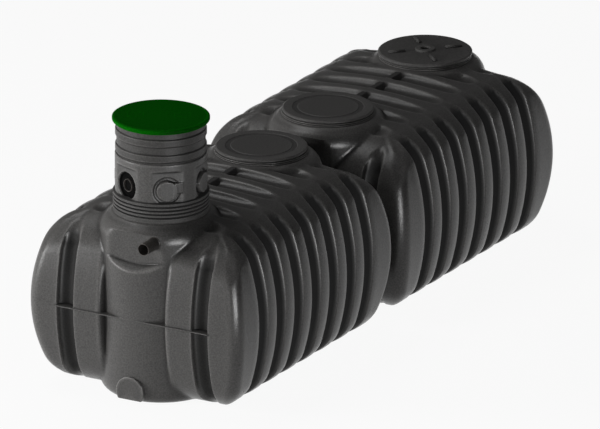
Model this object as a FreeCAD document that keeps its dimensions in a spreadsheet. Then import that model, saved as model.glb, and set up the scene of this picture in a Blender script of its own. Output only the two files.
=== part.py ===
import FreeCAD, Part
import math
import os
from FreeCAD import Placement, Rotation, Vector

# Twin underground rainwater tank: two equal ribbed tanks in a row, joined low down by a balance pipe.
# An access riser with a flat lid stands on the first neck, and the other three necks are covered.
# X runs along the row with the riser at the -X end, Z is up, and the origin is under the middle of
# the row, on the floor. Every size is in millimetres.

SIZES = (
    # moulded tank body
    ("tank_length", 2274.0),
    ("tank_width", 1750.0),
    ("tank_gap", 126.0),
    ("deck_height", 1335.0),
    ("end_rise", 5.0),
    ("seam_height", 628.0),
    ("bulge_lean", 185.50767),
    ("crown_radius", 3300.0),
    ("shoulder_radius", 130.0),
    ("end_shoulder_radius", 260.0),
    ("foot_radius", 190.0),
    ("corner_radius", 92.0),
    ("wall", 10.0),
    # ribs between the side grooves and the deck grooves
    ("rib_margin", 255.0),
    ("side_groove_radius", 73.0),
    ("side_groove_depth", 50.0),
    ("side_groove_flare", 14.60069),
    ("deck_groove_radius", 73.0),
    ("deck_groove_depth", 35.0),
    ("deck_groove_reach", 600.0),
    ("deck_groove_web", 40.0),
    # lobed ends
    ("channel_offset", 554.0),
    ("channel_radius", 68.0),
    ("channel_depth", 62.0),
    ("lobe_radius", 150.0),
    ("lobe_offset", 391.0),
    ("lobe_inset", 144.0),
    ("seam_thickness", 6.0),
    ("seam_distance", 433.0),
    ("seam_depth", 150.0),
    ("seam_span", 626.0),
    # columns that carry the necks, with a flat panel for pipes and a blank foot port
    ("neck_inset", 422.0),
    ("column_radius", 440.0),
    ("cone_drop", 63.0),
    ("cone_top_radius", 352.0),
    ("ledge_rise", 5.0),
    ("panel_distance", 378.0),
    ("panel_drop", 270.0),
    ("panel_slope", 1.1),
    ("column_foot_radius", 90.0),
    ("port_height", 92.0),
    ("port_radius", 112.0),
    ("port_reach", 20.0),
    ("port_floor", 34.0),
    # necks and their covers
    ("neck_bore_radius", 300.0),
    ("neck_radius", 320.0),
    ("neck_ring_radius", 330.0),
    ("neck_ring_height", 6.0),
    ("neck_height", 25.0),
    ("cover_radius", 334.0),
    ("cover_thickness", 20.0),
    ("cover_step_radius", 207.0),
    ("cover_step_depth", 5.0),
    ("cover_ring_width", 45.0),
    ("plug_depth", 30.0),
    ("plug_clearance", 2.0),
    ("grip_cover_radius", 345.0),
    ("grip_cover_thickness", 26.0),
    ("hub_radius", 70.0),
    ("hub_height", 14.0),
    ("hub_hole_radius", 30.0),
    ("grip_distance", 215.0),
    ("grip_length", 130.0),
    ("grip_width", 34.0),
    ("grip_height", 16.0),
    # access riser and lid
    ("riser_radius", 318.0),
    ("riser_wall", 16.0),
    ("extension_height", 231.0),
    ("sleeve_radius", 345.0),
    ("sleeve_height", 152.0),
    ("sleeve_clearance", 2.0),
    ("sleeve_groove_radius", 5.0),
    ("sleeve_groove_pitch", 27.0),
    ("waist_radius", 330.0),
    ("waist_height", 287.0),
    ("flat_distance", 310.0),
    ("flat_height", 232.0),
    ("band_radius", 328.0),
    ("band_start", 17.0),
    ("band_height", 52.0),
    ("band_pitch", 116.0),
    ("seal_thickness", 7.0),
    ("socket_rise", 90.0),
    ("socket_radius", 80.0),
    ("socket_wall", 8.0),
    ("socket_reach", 339.0),
    ("socket_turn", 60.0),
    ("socket_start", 22.0),
    ("lid_radius", 350.0),
    ("lid_thickness", 38.0),
    ("lid_plate", 15.0),
    ("lid_spigot_depth", 40.0),
    # overflow stub on the first panel, and the balance pipe between the tanks
    ("pipe_radius", 45.0),
    ("pipe_wall", 4.0),
    ("pipe_clearance", 0.5),
    ("stub_side", 165.0),
    ("stub_drop", 111.0),
    ("stub_reach", 160.0),
    ("stub_inside", 60.0),
    ("stub_flange_radius", 50.0),
    ("stub_flange_thickness", 8.0),
    ("balance_radius", 37.5),
    ("balance_wall", 3.0),
    ("balance_inside", 60.0),
    ("balance_seal_radius", 55.0),
    ("balance_seal_thickness", 12.0),
)

# positions along the row and heights, as expressions on the sheet
HALF_PITCH = "(sizes.tank_length + sizes.tank_gap) / 2"
NECK_PLACE = "(sizes.tank_length / 2 - sizes.neck_inset)"
PORT_PLACE = f"({NECK_PLACE} + sizes.column_radius + sizes.port_reach)"
FRONT_REACH = f"{HALF_PITCH} + {NECK_PLACE} + sizes.panel_distance + sizes.stub_reach"
REAR_REACH = f"{HALF_PITCH} + {PORT_PLACE}"
ROW_SHIFT = f"(({FRONT_REACH}) - ({REAR_REACH})) / 2"
TANK_X = {
    "front_tank": f"{ROW_SHIFT} - {HALF_PITCH}",
    "rear_tank": f"{ROW_SHIFT} + {HALF_PITCH}",
}
NECK_X = {
    f"{tank}_{end}": f"{x} {sign} {NECK_PLACE}"
    for tank, x in TANK_X.items()
    for end, sign in (("front", "-"), ("rear", "+"))
}
LEDGE = "(sizes.deck_height + sizes.ledge_rise)"
NECK_TOP = f"({LEDGE} + sizes.neck_height)"
COVER_TOP = f"({NECK_TOP} + sizes.cover_thickness)"
RISER_SEAT = f"({NECK_TOP} + sizes.seal_thickness)"
SLEEVE_TOP = f"({LEDGE} + sizes.sleeve_height)"
WAIST_TOP = f"({SLEEVE_TOP} + sizes.waist_height)"
RISER_TOP = f"({WAIST_TOP} + sizes.extension_height)"
SOCKET_HEIGHT = f"({SLEEVE_TOP} + sizes.socket_rise)"
RISER_BORE = "(sizes.riser_radius - sizes.riser_wall)"

GROOVES_PER_SIDE = 7
DECK_GROOVES = 7
SLEEVE_GROOVES = 4
BANDS = 2
GRIPS = 4
SOCKETS = 6

doc = FreeCAD.newDocument("rainwater_tank")


def make_sheet():
    """Fill the sheet of driving sizes, one named row each."""
    table = doc.addObject("Spreadsheet::Sheet", "sizes")
    for row, (name, value) in enumerate(SIZES, start=1):
        table.set(f"A{row}", name)
        table.set(f"B{row}", str(value))
        table.setAlias(f"B{row}", name)
    doc.recompute()
    return table


sheet = make_sheet()


def size(name):
    """Read one driving size from the sheet."""
    return float(sheet.get(name))


def neck_place():
    """How far each neck is from the middle of its tank."""
    return size("tank_length") / 2 - size("neck_inset")


def lobe_place():
    """How far the back of each bay is from the middle of its tank."""
    return size("tank_length") / 2 - size("lobe_inset")


def cone_height():
    """The height where the columns turn into cones."""
    return size("deck_height") - size("cone_drop")


def ledge_height():
    """The height of the ledge that carries each neck."""
    return size("deck_height") + size("ledge_rise")


def rib_half_run():
    """How far the ribs of a long side run from the middle of its tank."""
    return size("tank_length") / 2 - size("rib_margin")


def lean_radius(lean):
    """Radius of an upright arc that leans in by lean from the seam up to the deck."""
    rise = size("deck_height") - size("seam_height")
    return (rise**2 + lean**2) / (2 * lean)


def stations(count):
    """Evenly spaced places of the grooves along one tank, from its middle."""
    pitch = 2 * rib_half_run() / count
    return [(i - (count - 1) / 2) * pitch for i in range(count)]


# Pieces made of bound primitives


def bound(kind, name, turn=None, **expressions):
    """Add a primitive whose sizes and place follow the sheet; x, y and z are its place."""
    item = doc.addObject(kind, name)
    if turn:
        item.Placement = Placement(Vector(), turn)
    for key, text in expressions.items():
        path = f"Placement.Base.{key}" if key in ("x", "y", "z") else key
        item.setExpression(path, text)
    return item


def cylinder(name, radius, low, high, x="0", y="0"):
    """An upright cylinder between two heights."""
    height = f"({high}) - ({low})"
    return bound("Part::Cylinder", name, Radius=radius, Height=height, x=x, y=y, z=low)


def cut(name, base, tools):
    """Take every tool away from the base."""
    tool = tools[0]
    if len(tools) > 1:
        tool = doc.addObject("Part::MultiFuse", f"{name}_tools")
        tool.Shapes = tools
    result = doc.addObject("Part::Cut", name)
    result.Base = base
    result.Tool = tool
    return result


def fuse(name, items):
    """Join items that overlap into one solid."""
    result = doc.addObject("Part::MultiFuse", name)
    result.Shapes = items
    result.Refine = True
    return result


# The moulded body


def circles_meet(first, first_radius, second, second_radius):
    """The meeting points of two circles given by centre (a, z) and radius."""
    da = second[0] - first[0]
    dz = second[1] - first[1]
    apart = math.hypot(da, dz)
    along = (first_radius**2 - second_radius**2 + apart**2) / (2 * apart)
    across = math.sqrt(first_radius**2 - along**2)
    base = (first[0] + along * da / apart, first[1] + along * dz / apart)
    shift = (across * dz / apart, -across * da / apart)
    return [(base[0] + k * shift[0], base[1] + k * shift[1]) for k in (1, -1)]


def bulged_prism(half, inset, crowned, place, run):
    """A prism whose sides bulge out to half at the seam; place maps (across, height) to a point.

    The long edges are rounded, with a shoulder radius above and the foot radius below.
    """
    bulge = lean_radius(size("bulge_lean")) - inset
    seam = size("seam_height")
    floor = inset
    top = size("deck_height") - inset + (0.0 if crowned else size("end_rise"))
    centre = (half - inset - bulge, seam)
    foot = centre[0] + math.sqrt(bulge**2 - (seam - floor) ** 2)
    if crowned:
        crown = size("crown_radius") - inset
        meets = circles_meet(centre, bulge, (0.0, top - crown), crown)
        shoulder = max(meets, key=lambda point: point[1] if point[0] > 0 else 0.0)
        deck = Part.Arc(place(*shoulder), place(0.0, top), place(-shoulder[0], shoulder[1]))
    else:
        shoulder = (centre[0] + math.sqrt(bulge**2 - (top - seam) ** 2), top)
        deck = Part.LineSegment(place(*shoulder), place(-shoulder[0], top))
    side = centre[0] + bulge
    edges = [
        Part.LineSegment(place(-foot, floor), place(foot, floor)),
        Part.Arc(place(foot, floor), place(side, seam), place(*shoulder)),
        deck,
        Part.Arc(place(-shoulder[0], shoulder[1]), place(-side, seam), place(-foot, floor)),
    ]
    face = Part.Face(Part.Wire([edge.toShape() for edge in edges]))
    solid = face.extrude(run)
    upper = size("shoulder_radius") if crowned else size("end_shoulder_radius")
    for radius, above in ((upper, True), (size("foot_radius"), False)):
        long_edges = [
            edge
            for edge in solid.Edges
            if abs(edge.Length - run.Length) < 1e-6
            and (edge.CenterOfMass.z > seam) == above
            and abs(edge.CenterOfMass.z - (shoulder[1] if above else floor)) < 1e-6
        ]
        solid = solid.makeFillet(radius - inset, long_edges)
    return solid


def pillow(inset):
    """The plain body of one tank about its own middle, drawn in by inset on every face."""
    half_length = size("tank_length") / 2
    half_width = size("tank_width") / 2
    far = size("tank_length")
    barrel = bulged_prism(
        half_width, inset, True, lambda y, z: Vector(-far, y, z), Vector(2 * far, 0, 0)
    )
    ends = bulged_prism(
        half_length, inset, False, lambda x, z: Vector(x, -far, z), Vector(0, 2 * far, 0)
    )
    body = barrel.common(ends)
    corners = [
        edge
        for edge in body.Edges
        if abs(edge.Vertexes[0].X - edge.Vertexes[-1].X) > 1e-3
        and abs(edge.Vertexes[0].Y - edge.Vertexes[-1].Y) > 1e-3
    ]
    return body.makeFillet(size("corner_radius") - inset, corners)


def bent_cutter(centre, towards, radius, tube):
    """A round bar bent about centre, level at the seam and reaching above the deck and below the floor.

    towards points level from the centre to the middle of the bar.
    """
    reach = max(size("seam_height"), size("deck_height") - size("seam_height")) + 2 * tube
    half_turn = math.degrees(math.asin(reach / radius))
    axis = towards.cross(Vector(0, 0, 1))
    section = Part.Face(Part.Wire(Part.makeCircle(tube, centre + towards * radius, Vector(0, 0, 1))))
    section.rotate(centre, axis, -half_turn)
    return section.revolve(centre, axis, 2 * half_turn)


def side_grooves(inset):
    """The upright grooves of both long sides; they run out at the shoulder and at the foot."""
    tube = size("side_groove_radius")
    bend = lean_radius(size("bulge_lean") + size("side_groove_flare"))
    floor = size("tank_width") / 2 - size("side_groove_depth")
    return [
        bent_cutter(
            Vector(x, side * (floor - bend), size("seam_height")),
            Vector(0, side, 0),
            bend + tube,
            tube + inset,
        )
        for x in stations(GROOVES_PER_SIDE)
        for side in (1, -1)
    ]


def deck_grooves(inset):
    """The grooves across the crown, each with a web at the middle; the neck cones cover the outer ones."""
    tube = size("deck_groove_radius")
    web = size("deck_groove_web") / 2
    reach = size("deck_groove_reach")
    height = size("deck_height") - size("deck_groove_depth") + tube
    return [
        Part.makeCylinder(
            tube + inset,
            reach - web + 2 * inset,
            Vector(x, side * (web - inset), height),
            Vector(0, side, 0),
        )
        for x in stations(DECK_GROOVES)
        for side in (1, -1)
    ]


def end_channels(inset):
    """The upright channels of both ends, which follow the bulge from floor to deck."""
    bulge = lean_radius(size("bulge_lean"))
    tube = size("channel_radius")
    centre = size("tank_length") / 2 - bulge
    return [
        bent_cutter(
            Vector(end * centre, side * size("channel_offset"), size("seam_height")),
            Vector(end, 0, 0),
            bulge - size("channel_depth") + tube,
            tube + inset,
        )
        for end in (1, -1)
        for side in (1, -1)
    ]


def bays(inset):
    """The upright bays in both ends, where the columns stand between two rounded lobes."""
    radius = size("lobe_radius")
    deep = lobe_place() - inset
    half = size("lobe_offset")
    height = 2 * size("deck_height")
    shapes = []
    for end in (1, -1):
        corner = Vector(deep if end > 0 else -deep - 2 * radius, -half, -inset)
        block = Part.makeBox(2 * radius, 2 * half, height, corner)
        lobes = [
            Part.makeCylinder(radius - inset, height, Vector(end * lobe_place(), side * half, -inset))
            for side in (1, -1)
        ]
        shapes.append(block.cut(lobes))
    return shapes


def columns(inset):
    """The round columns under both necks, each with a rounded foot and a cone up to the neck's ledge."""
    radius = size("column_radius") - inset
    rise = cone_height()
    top_radius = size("cone_top_radius") - inset
    slope = (size("column_radius") - size("cone_top_radius")) / (ledge_height() - rise)
    shoulder = rise - inset / (slope + math.hypot(1.0, slope))
    shapes = []
    for end in (1, -1):
        foot = Vector(end * neck_place(), 0, inset)
        shaft = Part.makeCylinder(radius, shoulder - inset, foot)
        low_edges = [edge for edge in shaft.Edges if edge.Closed and edge.CenterOfMass.z < rise / 2]
        shaft = shaft.makeFillet(size("column_foot_radius") - inset, low_edges)
        cone = Part.makeCone(
            radius, top_radius, ledge_height() - inset - shoulder, Vector(foot.x, 0, shoulder)
        )
        shapes.append(shaft.fuse(cone))
    return shapes


def panels(inset):
    """The blocks that flatten both columns into a pipe panel, with a sloping sill below."""
    face = neck_place() + size("panel_distance") - inset
    far = face + size("column_radius")
    slope = size("panel_slope")
    bottom = size("deck_height") - size("panel_drop")
    sill = bottom + inset * (slope - math.hypot(1.0, slope))
    top = cone_height()
    half = 2 * size("column_radius")
    outline = [(face, sill), (face, top), (far, top), (far, sill - slope * (far - face)), (face, sill)]
    shapes = []
    for end in (1, -1):
        wire = Part.makePolygon([Vector(end * x, -half, z) for x, z in outline])
        shapes.append(Part.Face(wire).extrude(Vector(0, 2 * half, 0)))
    return shapes


def seam_fins():
    """The thin moulding seam across both ends; it dies into the front of the column."""
    thick = size("seam_thickness")
    tip = neck_place() + size("seam_distance")
    depth = size("seam_depth")
    span = size("seam_span")
    return [
        Part.makeBox(
            depth,
            2 * span,
            thick,
            Vector(tip - depth if end > 0 else -tip, -span, size("seam_height") - thick / 2),
        )
        for end in (1, -1)
    ]


def foot_ports():
    """The round blank ports low on both columns, cut level a little above the floor."""
    start = neck_place()
    reach = start + size("column_radius") + size("port_reach")
    below = Part.makeBox(
        4 * reach, 4 * reach, reach, Vector(-2 * reach, -2 * reach, size("port_floor") - reach)
    )
    return [
        Part.makeCylinder(
            size("port_radius"),
            reach - start,
            Vector(end * start, 0, size("port_height")),
            Vector(end, 0, 0),
        ).cut(below)
        for end in (1, -1)
    ]


def moulded_shell():
    """The hollow body of one tank with open necks, as one solid."""
    wall = size("wall")
    outer = pillow(0.0).cut(side_grooves(0.0) + deck_grooves(0.0) + end_channels(0.0) + bays(0.0))
    column = [c.cut(panels(0.0)) for c in columns(0.0)]
    outer = outer.fuse(column + foot_ports() + seam_fins())
    inner = pillow(wall).cut(
        side_grooves(wall) + deck_grooves(wall) + end_channels(wall) + bays(wall)
    )
    hollow = [c.cut(panels(wall)) for c in columns(wall)]
    inner = inner.fuse(hollow)
    necks = [
        Part.makeCylinder(
            size("neck_bore_radius"),
            size("deck_height"),
            Vector(end * neck_place(), 0, cone_height() - wall),
        )
        for end in (1, -1)
    ]
    return outer.cut([inner] + necks)


def split_shell(shell):
    """Cut the body into its floor, roof, two ends and two long walls."""
    far = 2 * size("tank_length")
    floor_top = size("wall") + size("foot_radius") / 5
    roof_bottom = cone_height()
    end_start = rib_half_run()

    def block(x0, x1, y0, y1, z0, z1):
        return Part.makeBox(x1 - x0, y1 - y0, z1 - z0, Vector(x0, y0, z0))

    blocks = {
        "floor": block(-far, far, -far, far, -far, floor_top),
        "roof": block(-far, far, -far, far, roof_bottom, far),
        "front_end": block(-far, -end_start, -far, far, floor_top, roof_bottom),
        "rear_end": block(end_start, far, -far, far, floor_top, roof_bottom),
        "left_wall": block(-end_start, end_start, 0, far, floor_top, roof_bottom),
        "right_wall": block(-end_start, end_start, -far, 0, floor_top, roof_bottom),
    }
    return {name: shell.common(part) for name, part in blocks.items()}


def pipe_hole(x0, x1, y, z, radius):
    """A round hole along X between two places of one tank."""
    return Part.makeCylinder(radius, x1 - x0, Vector(x0, y, z), Vector(1, 0, 0))


def make_tanks():
    """Add both tanks as pieces with their pipe holes."""
    pieces = split_shell(moulded_shell())
    face = neck_place()
    reach = size("tank_length")
    stub_hole = size("pipe_radius") + size("pipe_clearance")
    low_hole = size("balance_radius") + size("pipe_clearance")
    low = size("port_height")
    high = size("deck_height") - size("stub_drop")
    holes = {
        "front_tank_front_end": pipe_hole(-reach, -face, -size("stub_side"), high, stub_hole),
        "front_tank_rear_end": pipe_hole(face, reach, 0, low, low_hole),
        "rear_tank_front_end": pipe_hole(-reach, -face, 0, low, low_hole),
    }
    made = []
    for tank in TANK_X:
        for name, shape in pieces.items():
            node = f"{tank}_{name}"
            item = doc.addObject("Part::Feature", node)
            item.Shape = shape.cut(holes[node]) if node in holes else shape
            item.setExpression("Placement.Base.x", TANK_X[tank])
            made.append(item)
    return made


# Necks and covers


def make_neck(node, x):
    """A neck collar with two sealing rings, standing on the ledge of its cone."""
    tube = cylinder(f"{node}_tube", "sizes.neck_radius", LEDGE, NECK_TOP, x)
    rings = []
    for step in range(2):
        low = f"{LEDGE} + sizes.neck_ring_height * {2 * step + 0.5}"
        high = f"{low} + sizes.neck_ring_height"
        rings.append(cylinder(f"{node}_ring_{step}", "sizes.neck_ring_radius", low, high, x))
    body = fuse(f"{node}_body", [tube] + rings)
    bore = cylinder(f"{node}_bore", "sizes.neck_bore_radius", LEDGE, NECK_TOP, x)
    return cut(node, body, [bore])


def cover_parts(node, x, radius, top):
    """The plate and the plug that every neck cover has."""
    plate = cylinder(f"{node}_plate", radius, NECK_TOP, top, x)
    plug = cylinder(
        f"{node}_plug",
        "sizes.neck_bore_radius - sizes.plug_clearance",
        f"{NECK_TOP} - sizes.plug_depth",
        NECK_TOP,
        x,
    )
    return [plate, plug]


def make_blank_cover(node, x):
    """A plain cover whose top has a shallow ring trough round a flat middle."""
    body = fuse(f"{node}_body", cover_parts(node, x, "sizes.cover_radius", COVER_TOP))
    low = f"{COVER_TOP} - sizes.cover_step_depth"
    outer = "sizes.cover_step_radius + sizes.cover_ring_width"
    trough = cylinder(f"{node}_trough", outer, low, f"{COVER_TOP} + sizes.cover_step_depth", x)
    middle = cylinder(
        f"{node}_middle",
        "sizes.cover_step_radius",
        f"{low} - sizes.cover_step_depth",
        f"{COVER_TOP} + 2 * sizes.cover_step_depth",
        x,
    )
    return cut(node, body, [cut(f"{node}_ring", trough, [middle])])


def make_grip_cover(node, x):
    """A screw cover with a bored hub and four raised grips."""
    face = f"{NECK_TOP} + sizes.grip_cover_thickness"
    top = f"{face} + sizes.hub_height"
    items = cover_parts(node, x, "sizes.grip_cover_radius", face)
    items.append(cylinder(f"{node}_hub", "sizes.hub_radius", face, top, x))
    for number in range(GRIPS):
        angle = math.radians(45 + number * 360 / GRIPS)
        grip = bound(
            "Part::Box",
            f"{node}_grip_{number}",
            turn=Rotation(Vector(0, 0, 1), math.degrees(angle)),
            Length="sizes.grip_length",
            Width="sizes.grip_width",
            Height="sizes.grip_height",
            x=f"{x} + {math.cos(angle)} * (sizes.grip_distance - sizes.grip_length / 2)"
            f" + {math.sin(angle)} * sizes.grip_width / 2",
            y=f"{math.sin(angle)} * (sizes.grip_distance - sizes.grip_length / 2)"
            f" - {math.cos(angle)} * sizes.grip_width / 2",
            z=face,
        )
        items.append(grip)
    body = fuse(f"{node}_body", items)
    hole = cylinder(f"{node}_hole", "sizes.hub_hole_radius", face, f"{top} + sizes.hub_height", x)
    return cut(node, body, [hole])


# Access riser


def ring(name, radius, tube, x, z):
    """A level ring of round section."""
    return bound("Part::Torus", name, Radius1=radius, Radius2=tube, x=x, z=z)


def radial_tube(name, radius, start, end, turn, x, z):
    """A level cylinder that points away from the riser's axis, turned from -X towards -Y."""
    angle = math.radians(180 + turn)
    return bound(
        "Part::Cylinder",
        name,
        turn=Rotation(Vector(0, 0, 1), Vector(math.cos(angle), math.sin(angle), 0)),
        Radius=radius,
        Height=f"({end}) - ({start})",
        x=f"{x} + {math.cos(angle)} * ({start})",
        y=f"{math.sin(angle)} * ({start})",
        z=z,
    )


def make_sleeve(x):
    """The grooved sleeve over the first neck; its inner step rests on the seal and its foot on the ledge."""
    body = cylinder("sleeve_body", "sizes.sleeve_radius", LEDGE, SLEEVE_TOP, x)
    tools = [
        cylinder("sleeve_bore", RISER_BORE, RISER_SEAT, SLEEVE_TOP, x),
        cylinder("sleeve_seat", "sizes.neck_ring_radius + sizes.sleeve_clearance", LEDGE, RISER_SEAT, x),
    ]
    for number in range(SLEEVE_GROOVES):
        height = f"{SLEEVE_TOP} - {number + 1} * sizes.sleeve_groove_pitch"
        tools.append(
            ring(f"sleeve_groove_{number}", "sizes.sleeve_radius", "sizes.sleeve_groove_radius", x, height)
        )
    return cut("riser_sleeve", body, tools)


def make_riser(x):
    """The riser shaft on the sleeve: a waist with six flats and pipe sockets, one of them open."""
    waist = cylinder("shaft_waist", "sizes.waist_radius", SLEEVE_TOP, WAIST_TOP, x)
    flats = []
    for number in range(SOCKETS):
        angle = math.radians(180 + number * size("socket_turn") - size("socket_start"))
        flats.append(
            bound(
                "Part::Box",
                f"shaft_flat_{number}",
                turn=Rotation(Vector(0, 0, 1), math.degrees(angle)),
                Length="sizes.waist_radius",
                Width="2 * sizes.waist_radius",
                Height="sizes.flat_height",
                x=f"{x} + {math.cos(angle)} * sizes.flat_distance + {math.sin(angle)} * sizes.waist_radius",
                y=f"{math.sin(angle)} * sizes.flat_distance - {math.cos(angle)} * sizes.waist_radius",
                z=SLEEVE_TOP,
            )
        )
    items = [cut("shaft_facets", waist, flats)]
    for number in range(SOCKETS):
        items.append(
            radial_tube(
                f"shaft_socket_{number}",
                "sizes.socket_radius + sizes.socket_wall" if number == 0 else "sizes.socket_radius",
                "sizes.riser_radius / 2",
                "sizes.socket_reach",
                number * size("socket_turn") - size("socket_start"),
                x,
                SOCKET_HEIGHT,
            )
        )
    tools = [
        cylinder("shaft_bore", RISER_BORE, SLEEVE_TOP, WAIST_TOP, x),
        radial_tube(
            "shaft_socket_bore",
            "sizes.socket_radius",
            "sizes.riser_radius / 2",
            "sizes.socket_reach",
            -size("socket_start"),
            x,
            SOCKET_HEIGHT,
        ),
    ]
    return cut("riser_shaft", fuse("shaft_body", items), tools)


def make_extension(x):
    """The banded tube that lifts the lid above the shaft."""
    items = [cylinder("extension_tube", "sizes.riser_radius", WAIST_TOP, RISER_TOP, x)]
    for number in range(BANDS):
        start = f"{WAIST_TOP} + sizes.band_start + {number} * sizes.band_pitch"
        end = f"{start} + sizes.band_height"
        items.append(cylinder(f"extension_band_{number}", "sizes.band_radius", start, end, x))
    bore = cylinder("extension_bore", RISER_BORE, WAIST_TOP, RISER_TOP, x)
    return cut("riser_extension", fuse("extension_body", items), [bore])


def make_riser_seal(x):
    """The flat rubber ring between the first neck and the riser."""
    disc = cylinder("riser_seal_disc", "sizes.neck_ring_radius", NECK_TOP, RISER_SEAT, x)
    hole = cylinder("riser_seal_hole", RISER_BORE, NECK_TOP, RISER_SEAT, x)
    return cut("riser_seal", disc, [hole])


def make_lid(x):
    """The flat lid: a rimmed plate with a spigot that drops into the riser."""
    top = f"{RISER_TOP} + sizes.lid_thickness"
    under = f"{top} - sizes.lid_plate"
    low = f"{RISER_TOP} - sizes.lid_spigot_depth"
    spigot = f"{RISER_BORE} - sizes.sleeve_clearance"
    disc = cylinder("lid_disc", "sizes.lid_radius", RISER_TOP, top, x)
    skirt = cylinder("lid_spigot", spigot, low, RISER_TOP, x)
    hollow = cylinder("lid_hollow", f"{spigot} - sizes.lid_plate", low, under, x)
    return cut("riser_lid", fuse("lid_body", [disc, skirt]), [hollow])


def along_row(name, radius, start, end, y, z):
    """A level cylinder along X between two places."""
    return bound(
        "Part::Cylinder",
        name,
        turn=Rotation(Vector(0, 0, 1), Vector(1, 0, 0)),
        Radius=radius,
        Height=f"({end}) - ({start})",
        x=start,
        y=y,
        z=z,
    )


def make_stub(x):
    """The overflow stub: a pipe with a flange against the first panel."""
    face = f"{x} - sizes.panel_distance"
    tip = f"{face} - sizes.stub_reach"
    inside = f"{face} + sizes.stub_inside"
    place = ("-sizes.stub_side", "sizes.deck_height - sizes.stub_drop")
    tube = along_row("stub_tube", "sizes.pipe_radius", tip, inside, *place)
    flange = along_row(
        "stub_flange",
        "sizes.stub_flange_radius",
        f"{face} - sizes.stub_flange_thickness",
        face,
        *place,
    )
    bore = along_row("stub_bore", "sizes.pipe_radius - sizes.pipe_wall", tip, inside, *place)
    return cut("overflow_stub", fuse("stub_body", [tube, flange]), [bore])


def make_balance_pipe():
    """The pipe that joins both tanks at their foot ports, and the rubber seal on each port."""
    left = f"{TANK_X['front_tank']} + {PORT_PLACE}"
    right = f"{TANK_X['rear_tank']} - {PORT_PLACE}"
    start = f"{left} - sizes.port_reach - sizes.balance_inside"
    end = f"{right} + sizes.port_reach + sizes.balance_inside"
    place = ("0", "sizes.port_height")
    outer = along_row("balance_tube", "sizes.balance_radius", start, end, *place)
    inner = along_row("balance_bore", "sizes.balance_radius - sizes.balance_wall", start, end, *place)
    made = [cut("balance_pipe", outer, [inner])]
    spans = {
        "balance_seal_front": (left, f"{left} + sizes.balance_seal_thickness"),
        "balance_seal_rear": (f"{right} - sizes.balance_seal_thickness", right),
    }
    for node, span in spans.items():
        disc = along_row(f"{node}_disc", "sizes.balance_seal_radius", *span, *place)
        hole = along_row(
            f"{node}_hole", "sizes.balance_radius + sizes.pipe_clearance", *span, *place
        )
        made.append(cut(node, disc, [hole]))
    return made


def build():
    """Make every piece in order and return the named ones."""
    nodes = make_tanks()
    for place, x in NECK_X.items():
        nodes.append(make_neck(f"{place}_neck", x))
    nodes.append(make_blank_cover("front_blank_cover", NECK_X["front_tank_rear"]))
    nodes.append(make_blank_cover("rear_blank_cover", NECK_X["rear_tank_front"]))
    nodes.append(make_grip_cover("rear_grip_cover", NECK_X["rear_tank_rear"]))
    riser_x = NECK_X["front_tank_front"]
    for make in (make_riser_seal, make_sleeve, make_riser, make_extension, make_lid, make_stub):
        nodes.append(make(riser_x))
    return nodes + make_balance_pipe()


def write(nodes):
    """Check every object and write one file for each named piece."""
    doc.recompute()
    failed = [o.Name for o in doc.Objects if {"Invalid", "Error"} & set(o.State)]
    if failed:
        raise RuntimeError(f"objects did not recompute: {failed}")
    os.makedirs("parts", exist_ok=True)
    for node in nodes:
        node.Label = node.Name
        shape = node.Shape
        if shape.isNull() or not shape.isValid() or len(shape.Solids) != 1:
            raise RuntimeError(f"{node.Label} is not one sound solid")
    for node in nodes:
        node.Shape.exportStep(os.path.join("parts", f"{node.Label}.step"))


write(build())
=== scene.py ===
"""Dresses the twin rainwater tank: moulded skins, riser and lid, neck covers, pipes and a plain studio."""

import logging
import math
from dataclasses import dataclass
from enum import Enum

import bmesh
import bpy
import numpy as np
from mathutils import Matrix, Vector


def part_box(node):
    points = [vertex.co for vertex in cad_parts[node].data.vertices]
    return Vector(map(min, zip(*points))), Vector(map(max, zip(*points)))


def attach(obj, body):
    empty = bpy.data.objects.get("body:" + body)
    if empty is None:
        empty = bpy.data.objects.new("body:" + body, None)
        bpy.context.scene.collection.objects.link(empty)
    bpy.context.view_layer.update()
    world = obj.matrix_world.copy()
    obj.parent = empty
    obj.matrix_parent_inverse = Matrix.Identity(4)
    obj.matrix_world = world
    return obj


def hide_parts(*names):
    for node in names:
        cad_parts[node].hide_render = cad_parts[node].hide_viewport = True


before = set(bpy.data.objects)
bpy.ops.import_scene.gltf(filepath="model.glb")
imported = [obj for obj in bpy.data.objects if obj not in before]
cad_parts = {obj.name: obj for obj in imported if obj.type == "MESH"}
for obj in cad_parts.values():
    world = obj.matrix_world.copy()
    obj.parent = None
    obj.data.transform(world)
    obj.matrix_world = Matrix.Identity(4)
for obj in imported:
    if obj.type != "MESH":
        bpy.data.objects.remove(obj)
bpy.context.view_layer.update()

logging.basicConfig(level=logging.INFO, format="%(name)s: %(message)s")
log = logging.getLogger("rainwater_tank")

Profile = list[tuple[float, float]]
Faces = list[tuple[int, ...]]

BODY = "root"
UP = Vector((0, 0, 1))
X_WAY = Vector((1, 0, 0))

# Values that a mesh carries at its points
CARVE = "carve"
DEPTH = "groove_depth"
OUTWARD = "groove_out"
# The bend values drive a painted highlight on outer edges and painted shade in creases; the shade values hold painted
# shade in grooves, end channels, deck webs and the sleeve's ring grooves, and darken the whole riser sleeve
EDGE = "edge_tone"
PAINTED_SHADE = "painted_shade"

# Degrees above which an edge stays sharp
SHARP = 38.0
SHARP_ROUND = 50.0
SHARP_SKIN = 48.0

# Radius, in metres, at which a bend counts as a full edge
EDGE_SPAN = 0.016

# Most of a run that a rounded corner may take
CORNER_SHARE = 0.45

# Gaps between mesh lines and the middle line of a side groove or an end channel
RIB_LINES = (0.0, 0.030, 0.048, 0.060, 0.0665, 0.071, 0.078, 0.086, 0.094, 0.108, 0.126)
CHANNEL_LINES = (0.0, 0.012, 0.024, 0.035, 0.045, 0.053, 0.059, 0.0635, 0.0672, 0.0705, 0.076, 0.086)

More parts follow.
